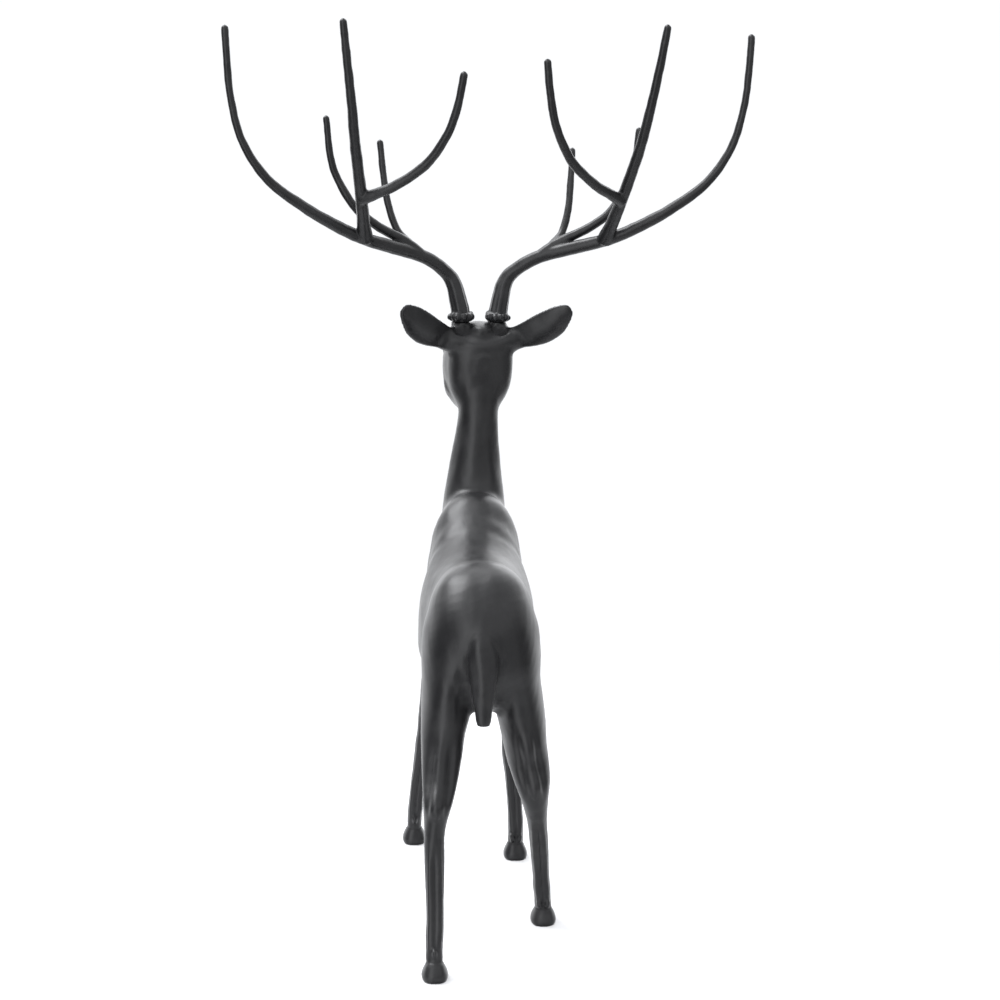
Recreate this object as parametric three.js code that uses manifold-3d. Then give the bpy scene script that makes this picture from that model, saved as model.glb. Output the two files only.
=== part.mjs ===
// A walking stag in cast metal, painted black: one body with two antlers seated on its head.
// Millimetres, +Z up. The deer faces -Y, and its own left side is +X.

import * as THREE from 'three';
import { mergeVertices } from 'three/addons/utils/BufferGeometryUtils.js';
import Module from 'manifold-3d';

const wasm = await Module();
wasm.setup();

// Driving dimensions

const HEIGHT = 1040;             // floor to the tip of the tallest tine
const DRAWN_HEIGHT = 1040;       // the figure's proportions below are drawn for this height
const JOINT_GAP = 0.3;           // between a pedicle and the antler seated on it
const FINEST_EDGE = 0.03;        // where forms meet, edges shorter than this are closed up
const PEDICLE_RADIUS = 11.3;
const PEDICLE_RISE = 5.6;        // from the crown of the head up to the pedicle's flat seat
const PEDICLE_DEPTH = 22;        // how deep the pedicle's root reaches into the skull
const PEDICLE_SPREAD = 1.15;     // its root is this much wider than its seat
const BURR_RADIUS = 14.8;
const BURR_THICKNESS = 11;
const BURR_KNOB = 1.8;           // how far a knob stands out of the burr
const BURR_KNOBS = 11;
const BEAM_FOOT_RADIUS = 12;
const BEAM_RADIUS = 8.4;         // at the outer fork
const TINE_RADIUS = 6.6;         // where a tine leaves its fork
const TINE_TIP_RADIUS = 4.6;
const SMALL_TINE_RADIUS = 5;
const SMALL_TIP_RADIUS = 4;
const HOOF_HALF_WIDTH = 14.1;
const HOOF_HEIGHT = 21;
const LEG_SEAT = 8;              // how deep a leg's end stands in its hoof
const CLEFT_WIDTH = 2.4;         // the split at the front of each hoof
const CLEFT_LENGTH = 12;         // how far it runs back from the toe
const CLEFT_TILT = 0.3;          // radians, as the front wall of the hoof slopes
const EYE_RADIUS = 7.5;
const EYE_TILT = 0.5;            // radians, its front corner lower than its back one
const EAR_THICKNESS = 4.4;
const EAR_DISH = 5.5;            // how deep the ear's front is hollowed
const SPINE_GROOVE = 2.4;        // depth of the furrow along the back
const HEAD_TURN = THREE.MathUtils.degToRad(7.7);    // to the deer's left
const HEAD_LEAN = THREE.MathUtils.degToRad(-1.5);

const share = HEIGHT / DRAWN_HEIGHT;
const BURR_FOOT = PEDICLE_RISE + JOINT_GAP;

// Proportions of the figure, each list in drawn millimetres

// Trunk, from rump to breast: y, x, half width, top, widest level, underside
const TRUNK = [
    [186, 0, 8, 356, 346, 334],
    [180, 0, 30, 380, 345, 308],
    [162, 0, 50, 404, 343, 284],
    [136, 0, 60.5, 426, 341, 270],
    [106, 0, 63.5, 435, 340, 270],
    [66, 0, 61, 430, 338, 280],
    [25, 0, 62, 420, 322, 274],
    [-20, 0, 68.5, 417, 313, 259],
    [-60, 0, 69, 425, 313, 250],
    [-100, -0.5, 60.5, 445, 332, 248],
    [-135, -1.5, 54.5, 463, 362, 256],
    [-170, -1.5, 47.5, 461, 374, 272],
    [-200, -1, 35, 438, 378, 298],
    [-220, -1, 20, 410, 376, 336],
    [-229, -1, 7, 386, 374, 360],
];

// Neck, upwards: z, x, half width, y, half depth
const NECK = [
    [380, -1, 38, -176, 40],
    [420, -1, 39, -184, 49],
    [450, -1.6, 37.3, -191, 44],
    [474, -2.6, 33.8, -195.5, 36],
    [500, -3.7, 30.3, -198.5, 31],
    [523, -5.2, 27, -200.5, 28.5],
    [548, -7, 24.7, -202.5, 27],
    [568, -8.3, 24.4, -205, 27.5],
    [592, -9, 26, -209, 29],
    [622, -9.5, 24, -213, 25],
];

// Head, from the back of the skull to the nose: y, x, half width, top, widest level, underside,
// in the head's own frame, whose origin is on the crown between the antlers
const HEAD = [
    [35, -2, 9, -33, -44, -56],
    [31, -2, 23, -21, -44, -74],
    [23, -2, 34, -9, -45, -91],
    [11, -2, 39.2, -0.5, -46, -104],
    [-4, -1.8, 40.2, 2.5, -47, -110],
    [-22, -1.4, 40.4, 0, -48, -113],
    [-42, -0.6, 38, -11, -51, -113],
    [-62, 0, 31, -26, -60, -111],
    [-82, 0, 23.5, -42, -71, -110],
    [-100, 0, 18.5, -57, -82, -110],
    [-115, 0, 16.5, -68, -89, -110],
    [-126, 0, 12.5, -77, -92, -106],
    [-130, 0, 5, -86, -92, -98],
];
const CROWN = [-9, -215, 660];
const EYE = [32.5, -48, -37];    // the left eye, in the head's frame

// Tail, downwards from its root: z, x, half width, y, half depth
const TAIL = [
    [404, 0, 5, 146, 9],
    [386, 0, 9, 162, 13],
    [366, 0, 14, 176, 13],
    [345, 0, 17.5, 184.5, 10],
    [320, 0, 16, 190, 8.5],
    [298, 0, 12.5, 194.5, 7.5],
    [281, 0, 9.4, 197, 6.5],
    [271.5, 0, 7, 198, 5.2],
];

// Legs, upwards from the pastern: z, x, half width, y, half depth
const LEGS = {
    hindLeft: [
        [13, 57.3, 10, 263, 12],
        [34, 57.1, 9.5, 258, 11.5],
        [49, 56.6, 10, 253.5, 12.3],
        [64, 56.1, 9.6, 249, 10.5],
        [84, 56, 9.9, 243.5, 10.5],
        [108, 56, 10.9, 236.5, 11.5],
        [132, 56.2, 11.3, 230, 12.5],
        [152, 56.1, 11.6, 224.5, 14.5],
        [170, 54.2, 13.3, 218.5, 19.5],
        [190, 51.5, 16.9, 214, 24.5],
        [212, 48.5, 20.5, 196, 22],
        [232, 46.4, 23, 179, 28],
        [252, 44.4, 25.2, 159, 37],
        [274, 40.6, 28.2, 140, 48],
        [302, 38.5, 29.3, 126, 57],
        [335, 33.5, 33.2, 120, 58],
        [366, 30, 31, 117, 49],
        [392, 25, 20, 115, 30],
    ],
    hindRight: [
        [13, -73.3, 9.9, 90.5, 12],
        [34, -71.8, 9.7, 97, 11.5],
        [49, -70.5, 10, 101.5, 12.3],
        [64, -69.4, 9.6, 107, 10.7],
        [84, -68, 10.1, 115.5, 11],
        [110, -65.9, 10.9, 127, 12],
        [136, -63.5, 11.3, 137.5, 14.5],
        [152, -62, 12.8, 143, 18.5],
        [170, -59.8, 15.8, 148, 22.5],
        [190, -57, 20.2, 147.5, 25.5],
        [212, -52.8, 23.7, 138, 29],
        [235, -49.1, 25.2, 129, 40],
        [257, -46.3, 27.3, 119, 48],
        [280, -42.5, 28.6, 113, 54],
        [305, -38, 30, 112, 58],
        [335, -33.5, 33.2, 113, 59],
        [366, -30, 31, 113, 49],
        [392, -25, 20, 112, 30],
    ],
    foreLeft: [
        [13, 74.4, 8.8, -208, 11],
        [34, 73.7, 9.1, -205, 11],
        [48, 72.8, 9.6, -202.5, 11.9],
        [62, 71.6, 8.9, -200, 10],
        [86, 69, 9, -195.5, 10],
        [112, 65.4, 9.6, -190, 10.8],
        [138, 61.8, 10.8, -183.5, 13.4],
        [156, 60.1, 10, -179, 12.8],
        [176, 58.8, 10, -174.5, 13.4],
        [204, 55, 11.3, -166, 17],
        [236, 51, 13.2, -157, 22.5],
        [268, 47.2, 15, -149.5, 30],
        [300, 44, 16.2, -146, 40],
        [335, 41.8, 17, -143.5, 48],
        [368, 40, 17.4, -141, 49],
        [400, 35.5, 15.5, -138, 43],
        [430, 29, 10, -136, 28],
    ],
    foreRight: [
        [13, -51.4, 9.8, -143, 11],
        [34, -51.4, 9.4, -143.5, 11],
        [48, -51.3, 9.7, -143, 11.9],
        [62, -50.7, 9.2, -142, 10],
        [86, -49.2, 9.4, -140, 10.2],
        [112, -46.9, 9.7, -137.5, 11],
        [138, -44.6, 10.7, -135, 13.4],
        [156, -43.5, 10.1, -133.5, 12.9],
        [176, -42.9, 10.2, -132, 13.4],
        [204, -42.5, 11.9, -131, 17],
        [236, -42.7, 14, -131, 22.5],
        [268, -43, 15.9, -131.5, 30],
        [300, -42.8, 16.8, -133.5, 40],
        [335, -41.6, 17, -136, 48],
        [368, -39.5, 17.4, -137, 49],
        [400, -35.5, 15.5, -137, 43],
        [430, -29, 10, -136, 28],
    ],
};

// Hooves: where each stands, and the bell shape they share, as height, width and length
// shares of the hoof and its centre's shift back from the toe
const FEET = {
    hindLeft: [56.7, 264.5],
    hindRight: [-73.3, 89.5],
    foreLeft: [74.2, -209],
    foreRight: [-51.2, -144],
};
const HOOF = [
    [0, 0.93, 1.3, -2.5],
    [0.12, 1, 1.33, -2.4],
    [0.3, 0.98, 1.26, -2],
    [0.55, 0.87, 1.08, -1.2],
    [0.8, 0.75, 0.9, -0.4],
    [1, 0.68, 0.82, 0],
];

// Ear: from its root in the skull to its tip, x, y, z, half width, in the head's frame
const EAR = [
    [28, 3, -17, 10],
    [42, 12.5, -13, 13.2],
    [56, 22.5, -7.4, 16.7],
    [72, 33.5, 1.4, 19.3],
    [87, 43, 12.6, 18],
    [98, 49.7, 22.8, 12],
    [103.5, 53, 29, 5],
];
const EAR_ACROSS = new THREE.Vector3(-0.588, 0, 0.808);

// Antler centrelines, in the head's frame, for the deer's left side
const BEAM_PATH = [
    [22.6, 0.5, 10], [24, -0.8, 20], [27, -4, 34], [31, -8, 49.5], [39, -9, 62.5], [58, -1.5, 78.2],
    [78, 3.2, 87.8], [104, 13.3, 96.2], [148, 33, 110.3], [180, 43, 125], [223, 50.5, 149.8],
    [267, 51.2, 182.6], [297, 51.5, 227.5], [311, 50, 281], [316, 47, 335.5], [317.2, 44.5, 357],
];
const TALL_PATH = [
    [147, 33, 109], [157.5, 74, 164], [170, 108, 229], [177.2, 126, 278], [185, 136, 332],
    [190.2, 141, 371],
];
const INNER_PATH = [
    [157.5, 74, 162], [140, 88, 171], [119, 99, 182.5], [87, 114, 209.5], [65, 128, 247], [54.5, 136, 284],
    [49, 141, 321],
];
const FRONT_PATH = [
    [72, 2, 85], [92, 4, 102], [130, 10, 122.5], [157.5, 12, 144.5], [178, 6, 177], [187, 5, 204],
    [192, 2.5, 246],
];
const BROW_PATH = [
    [88, 3.5, 100], [102, -8, 115], [111.5, -21, 143], [116.5, -36, 177], [119.8, -47, 215],
];

// Each antler was finished by hand: how high its small tines rise, as a share of the drawn ones
const RISE = {
    left: { front: 1.03, brow: 1.03, inner: 0.95 },
    right: { front: 0.97, brow: 0.97, inner: 1.05 },
};

// Shaping helpers

// Rounds a circle's sine or cosine towards a square: 2 leaves the circle as it is
function swell(value, roundness) {
    return Math.sign(value) * Math.abs(value) ** (2 / roundness);
}

// Values between the stations of a list, joined by a smooth curve, with t from 0 to 1
function blender(stations) {
    const places = stations.map((_, index) => index);
    const size = stations[0].length;
    const curve = new THREE.CubicInterpolant(places, stations.flat(), size, new Float64Array(size));
    return (t) => [...curve.evaluate(t * (stations.length - 1))];
}

// Only the shape of a geometry, with its shared corners merged
function bare(geometry) {
    geometry.deleteAttribute('normal');
    geometry.deleteAttribute('uv');
    return mergeVertices(geometry);
}

// A closed form along a line: a sphere's rows become the cross-sections and its poles the two ends.
// place(t, across, rise) gives the surface for t along the form and a point of the unit circle
function loft(sides, rows, place) {
    const ball = new THREE.SphereGeometry(1, sides, rows + 2);
    const position = ball.getAttribute('position');
    for (let index = 0; index < position.count; index += 1) {
        const row = Math.floor(index / (sides + 1));
        const turn = (2 * Math.PI * (index % (sides + 1))) / sides;
        const t = THREE.MathUtils.clamp((row - 1) / rows, 0, 1);
        const isPole = row === 0 || row === rows + 2;
        const point = isPole ? place(t, 0, 0) : place(t, -Math.cos(turn), Math.sin(turn));
        position.setXYZ(index, point.x, point.y, point.z);
    }
    return bare(ball);
}

// A form whose sections stand across Y, as trunk and head do, with an optional furrow along its top
function lyingForm(stations, sides, rows, roundness, furrow = 0) {
    const at = blender(stations);
    return loft(sides, rows, (t, across, rise) => {
        const [y, x, halfWidth, top, widest, underside] = at(t);
        const reach = rise > 0 ? top - widest : widest - underside;
        const sideways = x + halfWidth * swell(across, roundness);
        const z = widest + reach * swell(rise, roundness);
        const point = new THREE.Vector3(sideways, y, z).multiplyScalar(share);
        point.z -= furrow * THREE.MathUtils.smoothstep(rise, 0.97, 1);
        return point;
    });
}

// A form whose sections lie flat, as neck, tail and legs have, stacked in the order of the list
function standingForm(stations, sides, rows, roundness = 2) {
    const at = blender(stations);
    const upwards = Math.sign(stations[stations.length - 1][0] - stations[0][0]);
    return loft(sides, rows, (t, across, rise) => {
        const [z, x, halfWidth, y, halfDepth] = at(t);
        const sideways = x + upwards * halfWidth * swell(across, roundness);
        return new THREE.Vector3(sideways, y + halfDepth * swell(rise, roundness), z).multiplyScalar(share);
    });
}

// A round rod along a path, thinning from one radius to the other, with a domed far end
function rod(path, radiusAt, sides, rows) {
    const curve = new THREE.CatmullRomCurve3(path);
    const { normals, binormals } = curve.computeFrenetFrames(rows);
    const domeRows = 2;
    const domeTurn = THREE.MathUtils.degToRad(83);    // just short of the top of the dome
    return loft(sides, rows + domeRows, (t, across, rise) => {
        const row = Math.round(t * (rows + domeRows));
        const ring = Math.min(row, rows);
        const u = ring / rows;
        const lift = ((row - ring) / domeRows) * domeTurn;
        const radius = radiusAt(u) * Math.cos(lift);
        return curve.getPointAt(u)
            .addScaledVector(curve.getTangentAt(u), radiusAt(u) * Math.sin(lift))
            .addScaledVector(normals[ring], radius * across)
            .addScaledVector(binormals[ring], radius * rise);
    });
}

function solidOf(geometry) {
    const { array } = geometry.getAttribute('position');
    const vertProperties = Float32Array.from(array);
    const triVerts = Uint32Array.from(geometry.index.array);
    const mesh = new wasm.Mesh({ numProp: 3, vertProperties, triVerts, tolerance: FINEST_EDGE });
    return new wasm.Manifold(mesh);
}

function joined(geometries) {
    return geometries.map(solidOf).reduce((whole, piece) => whole.add(piece));
}

function geometryOf(solid) {
    const { numProp, vertProperties, triVerts } = solid.getMesh();
    const interleaved = new THREE.InterleavedBuffer(vertProperties, numProp);
    const position = new THREE.BufferAttribute(new Float32Array(interleaved.count * 3), 3);
    for (let index = 0; index < interleaved.count; index += 1) {
        const start = index * numProp;
        position.setXYZ(index, vertProperties[start], vertProperties[start + 1], vertProperties[start + 2]);
    }
    const geometry = new THREE.BufferGeometry();
    geometry.setAttribute('position', position);
    geometry.setIndex([...triVerts]);
    geometry.computeVertexNormals();
    return geometry;
}

// The body's forms

const headPlace = new THREE.Matrix4()
    .makeRotationFromEuler(new THREE.Euler(0, HEAD_LEAN, HEAD_TURN, 'ZYX'))
    .setPosition(new THREE.Vector3(...CROWN).multiplyScalar(share));

// A leg, whose lowest station goes down into the hoof
function leg([end, ...others]) {
    const endHeight = (HOOF_HEIGHT - LEG_SEAT) / share;
    return standingForm([[endHeight, ...end.slice(1)], ...others], 12, 20);
}

function hoof([x, y]) {
    const at = blender(HOOF);
    return loft(12, 5, (t, across, rise) => {
        const [height, width, length, shift] = at(t);
        return new THREE.Vector3(
            x * share + HOOF_HALF_WIDTH * width * across,
            (y + shift) * share + HOOF_HALF_WIDTH * length * rise,
            HOOF_HEIGHT * height,
        );
    });
}

// The blade that splits the toe of a hoof: half of it stands in front of the toe
function cleft([x, y]) {
    const [, , toeLength, toeShift] = HOOF[0];
    const toe = (y + toeShift) * share - HOOF_HALF_WIDTH * toeLength;
    const blade = new THREE.BoxGeometry(CLEFT_WIDTH, CLEFT_LENGTH * 2, HOOF_HEIGHT * 3);
    blade.rotateX(-CLEFT_TILT);
    blade.translate(x * share, toe, 0);
    return bare(blade);
}

// A leaf of even thickness, round-backed and dished in front, whose root is a plain stalk
function ear(side) {
    const at = blender(EAR);
    const [rootX, rootY, rootZ] = EAR[0];
    const [tipX, tipY, tipZ] = EAR[EAR.length - 1];
    const axis = new THREE.Vector3(tipX - rootX, tipY - rootY, tipZ - rootZ).normalize();
    const facing = axis.cross(EAR_ACROSS).normalize();
    return loft(10, 9, (t, across, rise) => {
        const [x, y, z, halfWidth] = at(t);
        const closed = THREE.MathUtils.smoothstep(t, 0.85, 1);
        const opening = THREE.MathUtils.smoothstep(t, 0.2, 0.5) * (1 - closed);
        const back = EAR_THICKNESS + EAR_DISH * opening;
        const front = EAR_THICKNESS * (1 - opening) - EAR_DISH * opening;
        const depth = rise < 0 ? back * rise : front * rise ** (1 + opening);
        const point = new THREE.Vector3(x, y, z)
            .addScaledVector(EAR_ACROSS, halfWidth * across * side)
            .addScaledVector(facing, depth)
            .multiplyScalar(share);
        point.x *= side;
        return point;
    });
}

// A shallow bulge in the side of the skull, half as long again as it is high
function eye(side) {
    const ball = new THREE.SphereGeometry(EYE_RADIUS, 10, 6);
    ball.scale(0.8, 1.5, 1);
    ball.rotateX(EYE_TILT);
    ball.translate(side * EYE[0] * share, EYE[1] * share, EYE[2] * share);
    return bare(ball);
}

// A short round post on the crown, flat on top, where an antler is seated
function pedicle(side) {
    const [x, y] = BEAM_PATH[0];
    const length = PEDICLE_RISE + PEDICLE_DEPTH;
    const post = new THREE.CylinderGeometry(PEDICLE_RADIUS, PEDICLE_RADIUS * PEDICLE_SPREAD, length, 16);
    post.rotateX(Math.PI / 2);
    post.translate(side * x * share, y * share, PEDICLE_RISE - length / 2);
    return bare(post);
}

function deerBody() {
    const headForms = [lyingForm(HEAD, 16, 15, 2.3)];
    for (const side of [1, -1]) {
        headForms.push(ear(side), eye(side), pedicle(side));
    }
    headForms.forEach((form) => form.applyMatrix4(headPlace));
    const legs = Object.values(LEGS).map(leg);
    const feet = Object.values(FEET).map(hoof);
    const trunk = lyingForm(TRUNK, 24, 20, 2.5, SPINE_GROOVE);
    const neck = standingForm(NECK, 16, 11);
    const tail = standingForm(TAIL, 10, 9, 1.6);
    const whole = joined([trunk, neck, tail, ...legs, ...feet, ...headForms]);
    const clefts = joined(Object.values(FEET).map(cleft));
    return geometryOf(whole.subtract(clefts));
}

// The antlers

// A thick ring with a flat underside and a row of knobs round its rim. The profile lists height and
// width as shares of its thickness and radius
function burr(side) {
    const [x, y] = BEAM_PATH[0];
    const sidesPerKnob = 3;
    const at = blender([[0, 0.9], [0.1, 0.99], [0.5, 1.06], [0.9, 0.99], [1, 0.9]]);
    return loft(BURR_KNOBS * sidesPerKnob, 4, (t, across, rise) => {
        const [height, width] = at(t);
        const turn = Math.atan2(rise, across);
        const knob = BURR_KNOB * Math.cos(BURR_KNOBS * turn) * Math.sin(Math.PI * height);
        const radius = BURR_RADIUS * width + knob;
        return new THREE.Vector3(
            side * x * share + radius * across,
            y * share + radius * rise,
            BURR_FOOT + BURR_THICKNESS * height,
        );
    });
}

function pathOf(points, side, stretch = 1) {
    const rootHeight = points[0][2];
    return points.map(([x, y, z]) => {
        const height = rootHeight + (z - rootHeight) * stretch;
        return new THREE.Vector3(side * x, y, height).multiplyScalar(share);
    });
}

function tapered(rootRadius, tipRadius) {
    return (u) => THREE.MathUtils.lerp(rootRadius, tipRadius, u);
}

// Wide where it stands on the burr, slim past the first bend, even to the outer fork, then tapering
function beamRadius(u) {
    const flare = (BEAM_FOOT_RADIUS - BEAM_RADIUS) * (1 - THREE.MathUtils.smoothstep(u, 0.01, 0.16));
    const taper = (BEAM_RADIUS - TINE_TIP_RADIUS) * THREE.MathUtils.smoothstep(u, 0.25, 0.85);
    return BEAM_RADIUS + flare - taper;
}

// The beam starts inside the burr, clear of its flat underside
function antler(side, stretch) {
    const [[x, y], ...others] = BEAM_PATH;
    const beamFoot = (BURR_FOOT + BURR_THICKNESS * 0.3) / share;
    const whole = joined([
        burr(side),
        rod(pathOf([[x, y, beamFoot], ...others], side), beamRadius, 10, 25),
        rod(pathOf(TALL_PATH, side), tapered(BEAM_RADIUS, TINE_TIP_RADIUS), 8, 10),
        rod(pathOf(INNER_PATH, side, stretch.inner), tapered(TINE_RADIUS, TINE_TIP_RADIUS), 8, 12),
        rod(pathOf(FRONT_PATH, side, stretch.front), tapered(TINE_RADIUS, SMALL_TIP_RADIUS), 8, 11),
        rod(pathOf(BROW_PATH, side, stretch.brow), tapered(SMALL_TINE_RADIUS, SMALL_TIP_RADIUS), 8, 7),
    ]);
    return geometryOf(whole);
}

// The assembled figure

const blackPaint = new THREE.MeshStandardMaterial({ color: 0x1d1e20, roughness: 0.42, metalness: 0.35 });
const antlerPaint = blackPaint.clone();

function named(name, geometry, material) {
    const mesh = new THREE.Mesh(geometry, material);
    mesh.name = name;
    return mesh;
}

const head = new THREE.Group();
head.applyMatrix4(headPlace);
head.add(
    named('left_antler', antler(1, RISE.left), antlerPaint),
    named('right_antler', antler(-1, RISE.right), antlerPaint),
);

const figure = new THREE.Group();
figure.add(named('deer_body', deerBody(), blackPaint), head);

// The origin is on the floor, under the middle of the figure's box
const box = new THREE.Box3().setFromObject(figure, true);
const middle = box.getCenter(new THREE.Vector3());
figure.position.set(-middle.x, -middle.y, -box.min.z);

const deer = new THREE.Group();
deer.add(figure);

export default deer;
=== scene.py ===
# %% [markdown]
# # A walking stag in cast metal
# The sculpture is three castings painted satin black: one body, and two antlers that sit on short
# posts on its head. The frame holds them as plain faceted solids of the right size. Here each one
# gets its fine surface. The body is modelled as a field of distances, because a field melts legs,
# neck and tail into the trunk as clay does, and the antlers follow paths, so Geometry Nodes make them.

# %% Load the frame
import itertools
import math
import bpy
import numpy as np
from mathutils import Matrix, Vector


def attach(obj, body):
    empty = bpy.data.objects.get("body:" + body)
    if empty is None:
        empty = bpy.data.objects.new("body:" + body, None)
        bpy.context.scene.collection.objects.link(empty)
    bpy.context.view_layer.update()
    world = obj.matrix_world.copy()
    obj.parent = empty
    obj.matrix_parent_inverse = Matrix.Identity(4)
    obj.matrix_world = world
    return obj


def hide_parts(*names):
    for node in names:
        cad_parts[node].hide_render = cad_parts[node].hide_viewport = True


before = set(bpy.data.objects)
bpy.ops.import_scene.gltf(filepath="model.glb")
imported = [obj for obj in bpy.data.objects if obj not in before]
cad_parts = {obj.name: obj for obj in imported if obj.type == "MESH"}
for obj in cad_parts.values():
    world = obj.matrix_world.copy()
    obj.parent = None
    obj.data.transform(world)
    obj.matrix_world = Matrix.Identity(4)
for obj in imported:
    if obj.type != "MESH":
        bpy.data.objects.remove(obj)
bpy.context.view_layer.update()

MM = 0.001

# %% [markdown]
# ## Where the figure stands
# A sculptor measures from the figure itself, so every size below is in millimetres in the figure's
# own frame: the deer faces -Y, +X is its left and the floor is at zero. The frame shifts it sideways
# so that the origin is under the middle of its box. The flat soles say how far: the hind right hoof
# stands furthest to the right and the hind left hoof furthest back.

# %% Hooves and the shift to the frame
HOOF_HALF_WIDTH = 14.1
HOOF_HEIGHT = 21
HOOVES = {
    "hind_left": (56.7, 264.5),
    "hind_right": (-73.3, 89.5),
    "fore_left": (74.2, -209),
    "fore_right": (-51.2, -144),
}
# The flat sole of the frame's hoof: half width, half length and how far its middle lies forward
SOLE_HALF_WIDTH = 0.93 * HOOF_HALF_WIDTH
SOLE_HALF_LENGTH = 1.3 * HOOF_HALF_WIDTH
SOLE_FORWARD = -2.5
# Whatever lies lower than this is part of a flat sole
SOLE_LEVEL = 0.5
# Up the hoof: height, width and length as shares, and how far its middle lies forward
HOOF_BELL = [
    (-0.2, 0.78, 1.12, -2.5),
    (0, 0.95, 1.29, -2.5),
    (0.1, 1.02, 1.37, -2.5),
    (0.24, 1.05, 1.39, -2.4),
    (0.4, 1, 1.33, -2.1),
    (0.58, 0.9, 1.18, -1.5),
    (0.78, 0.77, 0.98, -0.7),
    (0.95, 0.66, 0.84, 0),
    (1, 0.62, 0.8, 0),
]

body_corners = np.array([corner.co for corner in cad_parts["deer_body"].data.vertices]) / MM
soles = body_corners[body_corners[:, 2] < SOLE_LEVEL]
SHIFT = np.array([
    soles[:, 0].min() - (HOOVES["hind_right"][0] - SOLE_HALF_WIDTH),
    soles[:, 1].max() - (HOOVES["hind_left"][1] + SOLE_FORWARD + SOLE_HALF_LENGTH),
    0,
])
print("shift from the figure to the frame, mm:", SHIFT.round(2))

# %% [markdown]
# ## Camera
# The photograph was taken from behind and a little to one side, from slightly above, with a long
# lens. The camera comes first, so that every later step can be judged from the same place.

# %% Camera
CAMERA_TURN = math.radians(177.7)
CAMERA_RISE = math.radians(12)
CAMERA_DISTANCE = 3.2
CAMERA_LENS = 103.65
SENSOR_WIDTH = 36
CAMERA_TARGET = Vector((SHIFT + (-20, 155, 520)) * MM)


def towards(turn, rise):
    """The direction of a camera that is turned round the figure and raised above the level."""
    return Vector((math.sin(turn) * math.cos(rise), -math.cos(turn) * math.cos(rise), math.sin(rise)))


camera_data = bpy.data.cameras.new("camera")
camera_data.lens = CAMERA_LENS
camera_data.sensor_width = SENSOR_WIDTH
camera = bpy.data.objects.new("camera", camera_data)
bpy.context.scene.collection.objects.link(camera)
place = CAMERA_TARGET + CAMERA_DISTANCE * towards(CAMERA_TURN, CAMERA_RISE)
camera.location = place
camera.rotation_euler = (CAMERA_TARGET - place).to_track_quat("-Z", "Y").to_euler()
bpy.context.scene.camera = camera
print("camera at", [round(value, 3) for value in camera.location])

# %% [markdown]
# ## Sections along a line
# Trunk and head are sections that stand across the line from tail to nose. Neck, tail and legs are
# sections that lie flat, stacked upwards. A few stations carry the whole form, and a smooth curve
# through them fills in the rest. This is how a boat is drawn, too.

# %% Stations of the trunk and neck
# Trunk, rump to breast: y, x, half width, top, widest level, underside
TRUNK = [
    (186, 0, 8, 356, 346, 334),
    (180, 0, 30, 380, 345, 308),
    (162, 0, 50, 404, 343, 284),
    (136, 0, 60.5, 426, 341, 270),
    (106, 0, 63.5, 435, 340, 270),
    (66, 0, 61, 430, 338, 280),
    (25, 0, 62, 420, 322, 274),
    (-20, 0, 68.5, 417, 313, 259),
    (-60, 0, 69, 425, 313, 250),
    (-100, -0.5, 60.5, 445, 332, 248),
    (-135, -1.5, 54.5, 463, 362, 256),
    (-170, -1.5, 47.5, 461, 374, 272),
    (-200, -1, 35, 438, 378, 298),
    (-220, -1, 20, 410, 376, 336),
    (-229, -1, 7, 386, 374, 360),
]
# Neck, upwards: z, x, half width, y, half depth
NECK = [
    (380, -1, 38, -176, 40),
    (420, -1, 39, -184, 49),
    (450, -1.6, 37.3, -191, 44),
    (474, -2.6, 33.8, -195.5, 36),
    (500, -3.7, 30.3, -198.5, 31),
    (523, -5.2, 27, -200.5, 28.5),
    (548, -7, 24.7, -202.5, 27),
    (568, -8.3, 24.4, -205, 27.5),
    (592, -9, 26, -209, 29),
    (622, -9.5, 24, -213, 25),
]
# Tail, downwards: z, x, half width, y, half depth
TAIL = [
    (404, 0, 5, 146, 9),
    (386, 0, 9, 162, 13),
    (366, 0, 14, 176, 13),
    (345, 0, 17.5, 184.5, 10),
    (320, 0, 16, 190, 8.5),
    (298, 0, 12.5, 194.5, 7.5),
    (281, 0, 9.4, 197, 6.5),
    (271.5, 0, 7, 198, 5.2),
]
print("stations: trunk", len(TRUNK), "neck", len(NECK), "tail", len(TAIL))

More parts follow.
